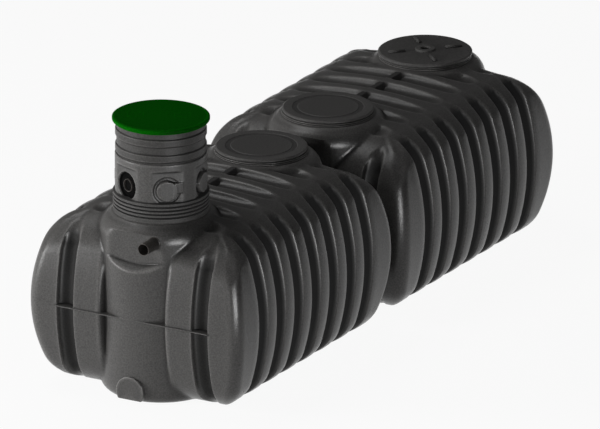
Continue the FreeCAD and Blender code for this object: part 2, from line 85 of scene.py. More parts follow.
# How a point of the tank's skin is found: farthest run, steps of the run, halvings of the last step
RUN_OUT = 1.04
RUN_STEPS = 52
HALVINGS = 18

# Height below which the tank's skin counts as floor
FLAT = 2e-5

# Distance at which two points count as one
TINY = 1e-6


# Shape helpers


def smooth_step(low: float, high: float, value: np.ndarray) -> np.ndarray:
    """Rise from 0 to 1 between two values with level ends.

    Args:
        low: where the rise starts.
        high: where the rise ends.
        value: the values to map.

    Returns:
        The mapped values.
    """
    part = np.clip((value - low) / (high - low), 0.0, 1.0)
    return part * part * (3.0 - 2.0 * part)


def fall(edge: float, soft: float, value: np.ndarray) -> np.ndarray:
    """Fall from 1 to 0 across an edge, over a soft width on each side of it."""
    return smooth_step(edge + soft, edge - soft, value)


def blend(base: np.ndarray, target: np.ndarray | float, share: np.ndarray) -> np.ndarray:
    """Move a base towards a target by a share."""
    return base + (target - base) * share


def smooth_max(first: np.ndarray, second: np.ndarray, soft: float) -> np.ndarray:
    """Take the larger of two fields with a soft crease.

    Args:
        first: one field.
        second: the other field.
        soft: how wide the crease is.

    Returns:
        The blended field.
    """
    part = np.clip(0.5 + 0.5 * (first - second) / soft, 0.0, 1.0)
    return second * (1.0 - part) + first * part + soft * part * (1.0 - part)


def smooth_min(first: np.ndarray, second: np.ndarray, soft: float) -> np.ndarray:
    """Take the smaller of two fields with a soft crease, as smooth_max does for the larger."""
    return -smooth_max(-first, -second, soft)


def round_max(first: np.ndarray, second: np.ndarray, radius: np.ndarray | float) -> np.ndarray:
    """Intersect two solids and round the edge between them.

    Args:
        first: distance to one solid, negative inside.
        second: distance to the other solid.
        radius: radius of the rounded edge.

    Returns:
        Distance to the rounded intersection.
    """
    inner = np.minimum(-radius, np.maximum(first, second))
    return inner + np.hypot(np.maximum(radius + first, 0.0), np.maximum(radius + second, 0.0))


def spread(*spans: tuple[float, float, int]) -> np.ndarray:
    """Join evenly divided spans into one rising row of values.

    Args:
        spans: start, end and number of steps of each span.

    Returns:
        The values without doubles.
    """
    parts = [np.linspace(start, end, steps + 1) for start, end, steps in spans]
    return np.unique(np.round(np.concatenate(parts), 6))


def both_ways(half: np.ndarray) -> np.ndarray:
    """Mirror a row of values about zero."""
    return np.unique(np.round(np.concatenate([-half, half]), 6))


def rounded(points: Profile, radius: float, steps: int = 4) -> Profile:
    """Round the inner corners of a profile.

    Args:
        points: the profile as (radius, height) points.
        radius: the corner radius; short runs take less.
        steps: pieces in each corner.

    Returns:
        The profile with its corners as short arcs.
    """
    result = [points[0]]
    for before, corner, after in zip(points, points[1:], points[2:]):
        start, mid, end = (np.array(p, dtype=float) for p in (before, corner, after))
        one, two = start - mid, end - mid
        long_one, long_two = np.linalg.norm(one), np.linalg.norm(two)
        cosine = np.clip(np.dot(one, two) / (long_one * long_two), -1.0, 1.0)
        half = math.acos(cosine) / 2.0
        reach = min(radius / max(math.tan(half), TINY), CORNER_SHARE * long_one, CORNER_SHARE * long_two)
        enter, leave = mid + one / long_one * reach, mid + two / long_two * reach
        for step in range(steps + 1):
            part = step / steps
            bend = (1 - part) ** 2 * enter + 2 * part * (1 - part) * mid + part**2 * leave
            result.append((float(bend[0]), float(bend[1])))
    result.append(points[-1])
    return result


def mesh_object(name: str, verts: np.ndarray, faces: Faces, sharp: float = SHARP) -> bpy.types.Object:
    """Make a smooth shaded mesh object at the origin.

    Args:
        name: the object's name.
        verts: its points.
        faces: its faces, as point numbers.
        sharp: degrees above which an edge stays sharp.

    Returns:
        The new object, linked to the scene.
    """
    mesh = bpy.data.meshes.new(name)
    mesh.from_pydata([tuple(map(float, v)) for v in verts], [], faces)
    mesh.validate()
    close_mesh(mesh)
    mesh.set_sharp_from_angle(angle=math.radians(sharp))
    item = bpy.data.objects.new(name, mesh)
    bpy.context.scene.collection.objects.link(item)
    return item


def close_mesh(mesh: bpy.types.Mesh) -> None:
    """Merge doubles, point the faces outwards and shade them smooth.

    Args:
        mesh: the mesh to close.
    """
    work = bmesh.new()
    work.from_mesh(mesh)
    bmesh.ops.remove_doubles(work, verts=work.verts, dist=TINY)
    bmesh.ops.recalc_face_normals(work, faces=work.faces)
    for face in work.faces:
        face.smooth = True
    work.to_mesh(mesh)
    work.free()


def edge_tone(mesh: bpy.types.Mesh, rounds: int = 2) -> np.ndarray:
    """Measure how sharply a mesh bends at each point.

    Args:
        mesh: the mesh to measure.
        rounds: how often the result is evened out along the edges.

    Returns:
        One value a point: towards 1 on outer edges, towards -1 in inner creases.
    """
    polys, loops, edges, points = len(mesh.polygons), len(mesh.loops), len(mesh.edges), len(mesh.vertices)
    normals, centres, areas = np.empty(polys * 3), np.empty(polys * 3), np.empty(polys)
    totals, ends, places = np.empty(polys, dtype=int), np.empty(edges * 2, dtype=int), np.empty(points * 3)
    corner_edge, corner_point = np.empty(loops, dtype=int), np.empty(loops, dtype=int)
    for group, key, store in (
        (mesh.polygons, "normal", normals), (mesh.polygons, "center", centres), (mesh.polygons, "area", areas),
        (mesh.polygons, "loop_total", totals), (mesh.edges, "vertices", ends), (mesh.vertices, "co", places),
        (mesh.loops, "edge_index", corner_edge), (mesh.loops, "vertex_index", corner_point),
    ):
        group.foreach_get(key, store)
    normals, centres = normals.reshape(-1, 3), centres.reshape(-1, 3)
    ends, places = ends.reshape(-1, 2), places.reshape(-1, 3)
    owner = np.repeat(np.arange(polys), totals)
    order = np.argsort(corner_edge, kind="stable")
    twice = np.flatnonzero(corner_edge[order][1:] == corner_edge[order][:-1])
    first, second = owner[order[twice]], owner[order[twice + 1]]
    edge = corner_edge[order[twice]]
    turn = np.arccos(np.clip(np.sum(normals[first] * normals[second], axis=1), -1.0, 1.0))
    turn *= -np.sign(np.sum((centres[second] - centres[first]) * normals[first], axis=1))
    length = np.linalg.norm(places[ends[edge, 0]] - places[ends[edge, 1]], axis=1)
    bend, room = np.zeros(points), np.full(points, 1e-9)
    for side in (0, 1):
        np.add.at(bend, ends[edge, side], 0.5 * length * turn)
    np.add.at(room, corner_point, areas[owner] / totals[owner])
    tone = np.clip(bend / room * EDGE_SPAN, -1.0, 1.0)
    for _ in range(rounds):
        total, count = tone.copy(), np.ones(points)
        for one, two in ((0, 1), (1, 0)):
            np.add.at(total, ends[:, one], tone[ends[:, two]])
            np.add.at(count, ends[:, one], 1.0)
        tone = total / count
    return tone


def keep_values(mesh: bpy.types.Mesh, name: str, values: np.ndarray) -> None:
    """Store one value or vector a point on a mesh.

    Args:
        mesh: the mesh.
        name: the attribute's name.
        values: one row a point.
    """
    vector = values.ndim == 2
    known = mesh.attributes.get(name)
    layer = known if known else mesh.attributes.new(name, "FLOAT_VECTOR" if vector else "FLOAT", "POINT")
    layer.data.foreach_set("vector" if vector else "value", np.ascontiguousarray(values, dtype=np.float32).ravel())


def points_of(mesh: bpy.types.Mesh) -> np.ndarray:
    """Read a mesh's points.

    Args:
        mesh: the mesh.

    Returns:
        Rows of x, y and z.
    """
    places = np.empty(len(mesh.vertices) * 3)
    mesh.vertices.foreach_get("co", places)
    return places.reshape(-1, 3)


def ring_faces(rows: int, turns: int) -> Faces:
    """List the faces between closed rings of points.

    Args:
        rows: how many rings there are.
        turns: points of each ring.

    Returns:
        The faces, as point numbers.
    """
    faces: Faces = []
    for row in range(rows - 1):
        low, high = row * turns, (row + 1) * turns
        for turn in range(turns):
            after = (turn + 1) % turns
            faces.append((low + turn, low + after, high + after, high + turn))
    return faces


def revolve(
    profile: Profile, centre: Vector, axis: Vector, turns: int, hollow: bool = False
) -> tuple[np.ndarray, Faces]:
    """Turn a profile about an axis.

    Args:
        profile: points (distance from the axis, distance along it), from one end of the axis to the other.
        centre: a point on the axis.
        axis: the axis' direction.
        turns: segments of the round.
        hollow: whether the profile closes on its own start, as a ring does.

    Returns:
        Points and faces of the closed round body.
    """
    profile = profile + profile[:1] if hollow else profile
    axis = axis.normalized()
    side = axis.orthogonal().normalized()
    other = axis.cross(side)
    angles = np.linspace(0.0, 2.0 * math.pi, turns, endpoint=False)
    ring = np.outer(np.cos(angles), np.array(side)) + np.outer(np.sin(angles), np.array(other))
    points = [np.array(centre) + np.array(axis) * along + ring * radius for radius, along in profile]
    rows = len(profile)
    faces = ring_faces(rows, turns)
    ends = () if hollow else ((0, True), (rows - 1, False))
    for row, flip in ends:
        if profile[row][0] > TINY:
            loop = tuple(range(row * turns, (row + 1) * turns))
            faces.append(loop[::-1] if flip else loop)
    return np.concatenate(points), faces


def bar_frame(length: float, width: float, bar: float, height: float, turn: float) -> tuple[np.ndarray, Faces]:
    """Make a low rectangular frame with sloping sides, level on its own origin.

    Args:
        length: outer length along the turned X.
        width: outer width.
        bar: width of the frame's bars.
        height: height of the frame.
        turn: degrees that the frame is turned about the upright.

    Returns:
        Points and faces of the closed frame.
    """
    slope = 0.3 * bar
    rings = ((0.0, 0.0), (slope, height), (bar - slope, height), (bar, 0.0))
    corners = ((1, 1), (-1, 1), (-1, -1), (1, -1))
    points = np.array(
        [(i * (length / 2 - inset), j * (width / 2 - inset), rise) for inset, rise in rings for i, j in corners]
    )
    angle = math.radians(turn)
    spin = np.array(((math.cos(angle), math.sin(angle), 0), (-math.sin(angle), math.cos(angle), 0), (0, 0, 1)))
    faces = [tuple(number % len(points) for number in face) for face in ring_faces(len(rings) + 1, len(corners))]
    return points @ spin, faces


# Node helpers


class Graph:
    """Adds nodes to one tree and wires them."""

    def __init__(self, tree: bpy.types.NodeTree) -> None:
        """Keep the tree that the nodes go into."""
        self.tree = tree

    def add(self, kind: str, **settings: object) -> bpy.types.Node:
        """Add one node and set its properties.

        Args:
            kind: the node's type name.
            settings: properties of the node.

        Returns:
            The new node.
        """
        node = self.tree.nodes.new(kind)
        for key, value in settings.items():
            setattr(node, key, value)
        return node

    def feed(self, socket: bpy.types.NodeSocket, value: object) -> None:
        """Wire a socket to another one, or give it a plain value.

        Args:
            socket: the socket that is fed.
            value: another socket, or a number, colour or vector.
        """
        if isinstance(value, bpy.types.NodeSocket):
            self.tree.links.new(value, socket)
        else:
            socket.default_value = value

    def math(self, operation: str, *values: object) -> bpy.types.NodeSocket:
        """Add one sum.

        Args:
            operation: the math node's operation.
            values: sockets or numbers, in the node's order.

        Returns:
            The result's socket.
        """
        node = self.add("ShaderNodeMath", operation=operation)
        for socket, value in zip(node.inputs, values):
            self.feed(socket, value)
        return node.outputs[0]

    def split(self, vector: bpy.types.NodeSocket) -> bpy.types.bpy_prop_collection:
        """Split a vector into its three parts.

        Args:
            vector: the vector's socket.

        Returns:
            The sockets of X, Y and Z.
        """
        node = self.add("ShaderNodeSeparateXYZ")
        self.feed(node.inputs[0], vector)
        return node.outputs


class CarvingTree:
    """A Geometry Nodes tree that moves the points of a skin, with named inputs for its sizes."""

    def __init__(self, name: str, sizes: dict[str, float], material: bpy.types.Material) -> None:
        """Open the tree and its inputs.

        Args:
            name: the tree's name.
            sizes: named inputs with their values.
            material: the finish that the tree sets at its end.
        """
        self.sizes = sizes
        self.material = material
        self.tree = bpy.data.node_groups.new(name, "GeometryNodeTree")
        face = self.tree.interface
        face.new_socket("Geometry", in_out="INPUT", socket_type="NodeSocketGeometry")
        face.new_socket("Geometry", in_out="OUTPUT", socket_type="NodeSocketGeometry")
        for label in sizes:
            face.new_socket(label, in_out="INPUT", socket_type="NodeSocketFloat")
        self.graph = Graph(self.tree)
        self.inputs = self.graph.add("NodeGroupInput").outputs
        self.place = self.graph.split(self.graph.add("GeometryNodeInputPosition").outputs[0])
        self.mask = self.carried(CARVE)

    def carried(self, name: str, kind: str = "FLOAT") -> bpy.types.NodeSocket:
        """Read a value that the mesh carries at each point.

        Args:
            name: the value's name.
            kind: the value's data type.

        Returns:
            The value's socket.
        """
        node = self.graph.add("GeometryNodeInputNamedAttribute", data_type=kind)
        node.inputs["Name"].default_value = name
        return node.outputs["Attribute"]

    def station_gap(self, along: bpy.types.NodeSocket) -> bpy.types.NodeSocket:
        """Measure how far a point is from the nearest of evenly spaced stations.

        Args:
            along: the point's place along the row of stations.

        Returns:
            The signed gap.
        """
        sums = self.graph.math
        index = sums("DIVIDE", along, self.inputs["Pitch"])
        index = sums("ADD", sums("ROUND", sums("SUBTRACT", index, self.inputs["Shift"])), self.inputs["Shift"])
        index = sums("MAXIMUM", index, self.inputs["First"])
        index = sums("MINIMUM", index, self.inputs["Last"])
        return sums("SUBTRACT", along, sums("MULTIPLY", index, self.inputs["Pitch"]))

    def arc(self, gap: bpy.types.NodeSocket) -> bpy.types.NodeSocket:
        """Give the height of a groove's round floor above its lowest line.

        Args:
            gap: distance from that line.

        Returns:
            The height.
        """
        sums, radius = self.graph.math, self.inputs["Radius"]
        inside = sums("SUBTRACT", sums("MULTIPLY", radius, radius), sums("MULTIPLY", gap, gap))
        return sums("SUBTRACT", radius, sums("SQRT", sums("MAXIMUM", inside, 0.0)))

    def finish(self, offset: tuple[object, object, object]) -> None:
        """Move the points, set the finish and close the tree.

        Args:
            offset: the move along X, Y and Z, as sockets or numbers.
        """
        graph = self.graph
        vector = graph.add("ShaderNodeCombineXYZ")
        for socket, value in zip(vector.inputs, offset):
            graph.feed(socket, value)
        move = graph.add("GeometryNodeSetPosition")
        graph.feed(move.inputs["Geometry"], self.inputs["Geometry"])
        graph.feed(move.inputs["Offset"], vector.outputs[0])
        whole = graph.add("GeometryNodeRealizeInstances")
        graph.feed(whole.inputs["Geometry"], move.outputs["Geometry"])
        paint = graph.add("GeometryNodeSetMaterial")
        paint.inputs["Material"].default_value = self.material
        graph.feed(paint.inputs["Geometry"], whole.outputs["Geometry"])
        graph.feed(graph.add("NodeGroupOutput").inputs["Geometry"], paint.outputs["Geometry"])

    def apply(self, item: bpy.types.Object) -> None:
        """Run the tree on an object and keep the result as its plain mesh.

        Args:
            item: the object.
        """
        modifier = item.modifiers.new(self.tree.name, "NODES")
        modifier.node_group = self.tree
        for entry in self.tree.interface.items_tree:
            if entry.in_out == "INPUT" and entry.name in self.sizes:
                modifier[entry.identifier] = self.sizes[entry.name]
        made = bpy.data.meshes.new_from_object(item.evaluated_get(bpy.context.evaluated_depsgraph_get()))
        item.modifiers.remove(modifier)
        item.data = made


class GrooveRun(Enum):
    """Which way a row of grooves is spaced."""

    ALONG = "along"
    ACROSS = "across"


class SkinGrooves(CarvingTree):
    """A row of grooves of round section; each point of the skin carries their depth and outward direction."""

    def __init__(self, name: str, run: GrooveRun, sizes: dict[str, float], material: bpy.types.Material) -> None:
        """Build the tree.

        Args:
            name: the tree's name.
            run: whether the grooves are spaced along the tank or across it.
            sizes: Pitch, Shift, First, Last, Radius, Lip and Bulge, by which the ribs between grooves are rounded.
            material: the finish of the skin.
        """
        super().__init__(name, sizes, material)
        sums, depth = self.graph.math, self.carried(DEPTH)
        x, y, _ = self.place
        gap = self.station_gap(x if run is GrooveRun.ALONG else y)
        cut = sums("SUBTRACT", depth, self.arc(gap))
        half = sums("MULTIPLY", self.inputs["Pitch"], 0.5)
        near = sums("MAXIMUM", sums("SUBTRACT", 1.0, sums("DIVIDE", sums("ABSOLUTE", gap), half)), 0.0)
        full = sums("MULTIPLY", sums("MAXIMUM", depth, 0.0), self.inputs["Bulge"])
        sag = sums("MULTIPLY", full, sums("MULTIPLY", near, near))
        push = sums("MULTIPLY", sums("SMOOTH_MAX", cut, sag, self.inputs["Lip"]), self.mask)
        out = self.graph.split(self.carried(OUTWARD, "FLOAT_VECTOR"))
        self.finish(tuple(sums("MULTIPLY", sums("MULTIPLY", push, part), -1.0) for part in out))


class RingBands(CarvingTree):
    """Level rings round an upright body: raised bands, or grooves where the push is negative."""

    def __init__(self, sizes: dict[str, float], material: bpy.types.Material) -> None:
        """Build the tree.

        Args:
            sizes: Pitch, Shift, First, Last, Base, Half, Soft, Push and Axis.
            material: the finish of the body.
        """
        super().__init__("ring_bands", sizes, material)
        sums, inputs = self.graph.math, self.inputs
        x, y, z = self.place
        gap = sums("ABSOLUTE", self.station_gap(sums("SUBTRACT", z, inputs["Base"])))
        band = self.graph.add("ShaderNodeMapRange", interpolation_type="SMOOTHSTEP")
        self.graph.feed(band.inputs["Value"], gap)
        self.graph.feed(band.inputs["From Min"], sums("ADD", inputs["Half"], inputs["Soft"]))
        self.graph.feed(band.inputs["From Max"], sums("SUBTRACT", inputs["Half"], inputs["Soft"]))
        level = sums("SUBTRACT", x, inputs["Axis"])
        far = sums("SQRT", sums("ADD", sums("MULTIPLY", level, level), sums("MULTIPLY", y, y)))
        push = sums("MULTIPLY", sums("MULTIPLY", band.outputs["Result"], inputs["Push"]), self.mask)
        share = sums("DIVIDE", push, sums("MAXIMUM", far, 0.001))
        self.finish((sums("MULTIPLY", share, level), sums("MULTIPLY", share, y), 0.0))


# Finishes


@dataclass(frozen=True)
class PlasticFinish:
    """A moulded plastic or rubber with fine grain, a painted highlight on outer edges and painted shade in creases.
    """

    name: str
    slot: str
    colour: tuple[float, float, float]
    roughness: float
    specular: float
    grain_scale: float = 420.0
    grain_height: float = 0.0006
    grain_strength: float = 0.6
    mottle: float = 0.10
    mottle_scale: float = 2.6
    mottle_rough: float = 0.12
    speckle_share: float = 0.22
    speckle_low: float = 0.45
    speckle_gain: float = 1.1
    speckle_height: float = 2.0
    # Strength of the painted highlight on outer edges and of the painted shade in creases, and the roughness added
    # where shade is painted
    edge_highlight: float = 1.2
    crease: float = 0.7
    shade_rough: float = 0.65

    def material(self) -> bpy.types.Material:
        """Make the node material once and return it afterwards.

        Returns:
            The material of this finish.
        """
        known = bpy.data.materials.get(self.name)
        if known:
            return known
        made = bpy.data.materials.new(self.name)
        made.use_nodes = True
        graph = Graph(made.node_tree)
        sums = graph.math
        shader = made.node_tree.nodes["Principled BSDF"]
        shader.inputs["Specular IOR Level"].default_value = self.specular
        place = graph.add("ShaderNodeTexCoord").outputs["Object"]
        fine = self.noise(graph, place, self.grain_scale, 2.0)
        broad = self.noise(graph, place, self.mottle_scale, 3.0)
        speckle = self.noise(graph, place, self.grain_scale * self.speckle_share, 1.0)
        edge, shaded = self.layer(graph, EDGE), self.layer(graph, PAINTED_SHADE)
        tone = sums("MULTIPLY_ADD", broad, self.mottle, 1.0 - 0.5 * self.mottle)
        tone = sums("MULTIPLY", tone, sums("MULTIPLY_ADD", speckle, self.speckle_gain, self.speckle_low))
        # Painted highlight on outer edges and painted shade in inner creases, from how sharply the mesh bends
        painted_edge_light = sums("MULTIPLY", sums("MAXIMUM", edge, 0.0), self.edge_highlight)
        crease = sums("MULTIPLY", sums("MINIMUM", edge, 0.0), self.crease)
        tone = sums("MULTIPLY", tone, sums("ADD", 1.0, sums("ADD", painted_edge_light, crease)))
        # Painted shade from the shade values that the skin carries
        tone = sums("MULTIPLY", tone, sums("SUBTRACT", 1.0, shaded))
        tint = graph.add("ShaderNodeMix", data_type="RGBA", blend_type="MULTIPLY")
        tint.inputs["Factor"].default_value = 1.0
        tint.inputs["A"].default_value = (*self.colour, 1.0)
        shade = graph.add("ShaderNodeCombineColor")
        for socket in shade.inputs[:3]:
            graph.feed(socket, tone)
        graph.feed(tint.inputs["B"], shade.outputs["Color"])
        graph.feed(shader.inputs["Base Color"], tint.outputs["Result"])
        rough = sums("MULTIPLY_ADD", broad, self.mottle_rough, self.roughness - 0.5 * self.mottle_rough)
        graph.feed(shader.inputs["Roughness"], sums("MULTIPLY_ADD", shaded, self.shade_rough, rough))
        bump = graph.add("ShaderNodeBump")
        bump.inputs["Strength"].default_value = self.grain_strength
        bump.inputs["Distance"].default_value = self.grain_height
        graph.feed(bump.inputs["Height"], sums("ADD", fine, sums("MULTIPLY", speckle, self.speckle_height)))
        graph.feed(shader.inputs["Normal"], bump.outputs["Normal"])
        return made

    @staticmethod
    def layer(graph: Graph, name: str) -> bpy.types.NodeSocket:
        """Read a value that the mesh carries at each point."""
        return graph.add("ShaderNodeAttribute", attribute_name=name).outputs["Fac"]

    @staticmethod
    def noise(graph: Graph, place: bpy.types.NodeSocket, scale: float, detail: float) -> bpy.types.NodeSocket:
        """Add one noise on object coordinates.

        Args:
            graph: the material's graph.
            place: the coordinates.
            scale: noise cells in a metre.
            detail: octaves of the noise.

        Returns:
            The noise value's socket.
        """
        node = graph.add("ShaderNodeTexNoise")
        graph.feed(node.inputs["Vector"], place)
        node.inputs["Scale"].default_value = scale
        node.inputs["Detail"].default_value = detail
        return node.outputs[0]


# The edge gains set each finish's painted highlight on outer edges and painted shade in creases
TANK = PlasticFinish("tank_plastic", "tank_black", (0.090, 0.0877, 0.0854), 0.29, 0.27, edge_highlight=1.6, crease=1.0)
COVER = PlasticFinish("cover_plastic", "cover_black", (0.085, 0.083, 0.081), 0.46, 0.18, edge_highlight=0.5, crease=0.45)
RISER = PlasticFinish("riser_plastic", "riser_black", (0.092, 0.0896, 0.087), 0.40, 0.30, crease=0.9)
# A darker copy of the riser's plastic, on the same slot, for the extension tube
TUBE = PlasticFinish("tube_plastic", "riser_black", (0.066, 0.064, 0.062), 0.44, 0.20)
PIPE = PlasticFinish("pipe_plastic", "pipe_black", (0.055, 0.050, 0.046), 0.42, 0.20)
RUBBER = PlasticFinish("rubber", "seal_rubber", (0.006, 0.006, 0.006), 0.80, 0.03, edge_highlight=0.0)
LID = PlasticFinish("lid_plastic", "lid_green", (0.0004, 0.118, 0.0003), 0.60, 0.015, mottle=0.06, edge_highlight=0.1)


def settle(item: bpy.types.Object, finish: PlasticFinish, *nodes: str) -> None:
    """Give a finished piece its material, bend values and body, and hide the solids that it stands for.

    Args:
        item: the piece.
        finish: its finish.
        nodes: names of the solids that it replaces.
    """
    item.data.materials.clear()
    item.data.materials.append(finish.material())
    # Bend values, which the finish turns into a painted highlight on outer edges and painted shade in creases
    keep_values(item.data, EDGE, edge_tone(item.data))
    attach(item, BODY)
    if nodes:
        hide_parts(*nodes)
    log.info("%s: %d faces", item.name, len(item.data.polygons))


# Sub-assemblies


@dataclass(frozen=True)
class UprightGroove:
    """One kind of upright groove: its round section, where it fades out and how much shade is painted onto its floor.
    """

    radius: float
    depth: float
    tip: float
    fade: float
    foot: float
    dark: float
    dark_from: float
    dark_to: float


@dataclass
class MouldedTank:
    """One ribbed tank body: crowned deck, bulged sides with grooves, lobed ends with neck columns."""

    name: str
    middle_x: float
    half_length: float = 1.137
    half_width: float = 0.875
    deck: float = 1.335
    seam: float = 0.628
    bulge: float = 1.440
    crown: float = 3.300
    shoulder: float = 0.130
    end_shoulder: float = 0.260
    shoulder_blend: tuple[float, float] = (-0.12, 0.04)
    foot: float = 0.190
    corner: float = 0.092
    rib_pitch: float = 0.252
    rib_count: int = 7
    rib_bulge: float = 0.5
    groove: UprightGroove = UprightGroove(
        radius=0.073, depth=0.051, tip=0.775, fade=0.180, foot=0.730, dark=0.96, dark_from=0.22, dark_to=0.50
    )
    channel: UprightGroove = UprightGroove(
        radius=0.068, depth=0.062, tip=0.675, fade=0.200, foot=0.720, dark=0.70, dark_from=0.45, dark_to=0.80
    )
    channel_offset: float = 0.554
    fade_slope: float = 0.03
    # Groove depths over which the painted shade grows, and the least depth that a share of the depth is measured
    # against
    dark_depth: tuple[float, float] = (0.014, 0.036)
    least_depth: float = 0.004
    crown_radius: float = 0.105
    crown_depth: float = 0.046
    crown_span: float = 0.545
    web_half: float = 0.034
    web_soft: float = 0.005
    # Painted shade on the deck webs, and how far it reaches
    web_dark: float = 0.55
    web_dark_margin: float = 0.006
    web_dark_length: float = 0.075
    web_dark_pitches: float = 3.3
    lobe_flank: float = 0.262
    lobe_round: float = 0.028
    lobe_round_gain: float = 0.03
    lobe_arch: float = 1.085
    lobe_spread: float = 0.145
    lobe_spread_limit: float = 0.98
    lobe_distance: float = 0.993
    neck_distance: float = 0.715
    column: float = 0.440
    column_foot: float = 0.090
    column_blend: float = 0.016
    column_clear: tuple[float, float] = (0.004, 0.030)
    cone_base: float = 1.272
    cone_top: float = 0.352
    cone_round: float = 0.05
    ledge: float = 1.340
    ledge_round: float = 0.006
    panel: float = 0.378
    panel_half: float = 0.21
    panel_sill: float = 1.043
    panel_smile: float = 0.030
    panel_slope: float = 0.70
    panel_crease: float = 0.006
    fin_distance: float = 0.433
    fin_span: float = 0.626
    fin_half: float = 0.0035
    fin_root: float = 0.05
    fin_clear: tuple[float, float] = (0.0006, 0.001)
    port_height: float = 0.092
    port_radius: float = 0.112
    port_reach: float = 0.020
    port_depth: float = 0.075
    port_edge: float = 0.013
    port_rings: tuple[float, float] = (0.020, 0.030)
    port_floor: float = 0.034
    port_turns: int = 96
    lip: float = 0.006
    core_low: tuple[float, float, float] = (-0.88, -0.66, 0.06)
    core_high: tuple[float, float, float] = (0.88, 0.66, 1.20)

    @staticmethod
    def folded(points: np.ndarray) -> tuple[np.ndarray, np.ndarray, np.ndarray]:
        """Fold points onto one quarter of the tank: x and y without sign, and z."""
        return np.abs(points[:, 0]), np.abs(points[:, 1]), points[:, 2]

    def shell_field(self, x: np.ndarray, y: np.ndarray, z: np.ndarray) -> np.ndarray:
        """Distance to the plain rounded body.

        Args:
            x: places along the tank, from its middle, without sign.
            y: places across the tank, without sign.
            z: heights.

        Returns:
            The field, negative inside.
        """
        rise = z - self.seam
        side = np.hypot(y - (self.half_width - self.bulge), rise) - self.bulge
        end = np.hypot(x - (self.half_length - self.bulge), rise) - self.bulge
        top = np.hypot(y, z - (self.deck - self.crown)) - self.crown
        walls = round_max(side, end, self.corner)
        at_end = smooth_step(*self.shoulder_blend, end - side)
        edge = self.shoulder + (self.end_shoulder - self.shoulder) * at_end
        return round_max(round_max(walls, top, edge), -z, self.foot)

    def body_field(self, x: np.ndarray, y: np.ndarray, z: np.ndarray) -> np.ndarray:
        """Distance to the body with the two bays at each end.

        Args:
            x: places along the tank, from its middle, without sign.
            y: places across the tank, without sign.
            z: heights.

        Returns:
            The field, negative inside.
        """
        bend = np.clip((z - self.lobe_arch) / self.lobe_spread, 0.0, self.lobe_spread_limit)
        flank = self.lobe_flank + self.lobe_spread * (1.0 - np.sqrt(1.0 - bend * bend))
        bay = np.minimum(x - self.lobe_distance, flank - y)
        return round_max(self.shell_field(x, y, z), bay, self.lobe_round + self.lobe_round_gain * bend)

    def column_field(self, x: np.ndarray, y: np.ndarray, z: np.ndarray) -> np.ndarray:
        """Distance to the neck column with its cone, pipe panel and foot.

        Args:
            x: places along the tank, without sign.
            y: places across the tank, without sign.
            z: heights.

        Returns:
            The field, negative inside.
        """
        far = np.hypot(x - self.neck_distance, y)
        slope = (self.column - self.cone_top) / (self.ledge - self.cone_base)
        cone = (far - self.column + slope * (z - self.cone_base)) / math.hypot(1.0, slope)
        shaft = round_max(far - self.column, cone, self.cone_round)
        face = self.neck_distance + self.panel
        edge = self.panel_sill + self.panel_smile * (y / self.panel_half) ** 2
        sill = (z - edge + self.panel_slope * (x - face)) / math.hypot(1.0, self.panel_slope)
        notch = np.minimum(np.minimum(x - face, self.cone_base - z), sill)
        shaft = smooth_max(shaft, notch, self.panel_crease)
        shaft = round_max(shaft, -z, self.column_foot)
        return round_max(shaft, z - self.ledge, self.ledge_round)

    def fin_field(self, x: np.ndarray, y: np.ndarray, z: np.ndarray) -> np.ndarray:
        """Distance to the moulding seam across the end.

        Args:
            x: places along the tank, without sign.
            y: places across the tank, without sign.
            z: heights.

        Returns:
            The field, negative inside.
        """
        tall = np.abs(z - self.seam) - self.fin_half
        out = x - (self.neck_distance + self.fin_distance)
        sides = np.maximum(y - self.fin_span, self.lobe_distance - self.fin_root - x)
        return np.maximum(np.maximum(tall, out), sides)

    def field(self, points: np.ndarray) -> np.ndarray:
        """Distance to the whole plain mould, before the grooves.

        Args:
            points: rows of x, y and z from the tank's middle.

        Returns:
            The field, negative inside.
        """
        x, y, z = self.folded(points)
        solid = smooth_min(self.body_field(x, y, z), self.column_field(x, y, z), self.column_blend)
        return np.maximum(np.minimum(solid, self.fin_field(x, y, z)), -z)

    def rows(self) -> tuple[np.ndarray, np.ndarray, np.ndarray]:
        """Choose the mesh lines, close together where the mould has edges.

        Returns:
            Lines along X, Y and Z on a box round the tank.
        """
        stations = (np.arange(self.rib_count) - (self.rib_count - 1) / 2) * self.rib_pitch
        ribs = np.concatenate([stations + sign * line for line in RIB_LINES for sign in (1, -1)])
        limit = self.rib_count / 2 * self.rib_pitch
        along = np.concatenate([ribs, both_ways(spread((limit, 0.96, 4), (0.96, 1.19, 13)))])
        edges = np.array(CHANNEL_LINES)
        channel = np.concatenate([self.channel_offset + edges, self.channel_offset - edges])
        across = spread((0, 0.225, 11), (0.225, 0.35, 12), (0.35, 0.468, 6), (0.64, 0.895, 14))
        up = spread(
            (-0.012, 0.06, 6), (0.06, 0.608, 18), (0.608, 0.624, 3), (0.6240, 0.6250, 2), (0.6250, 0.6310, 2),
            (0.6310, 0.6320, 2), (0.632, 0.648, 3), (0.648, 0.985, 10), (0.985, 1.09, 21), (1.09, 1.27, 12),
            (1.27, 1.31, 14), (1.31, 1.352, 10),
        )
        return np.unique(np.round(along, 6)), both_ways(np.concatenate([across, channel])), up

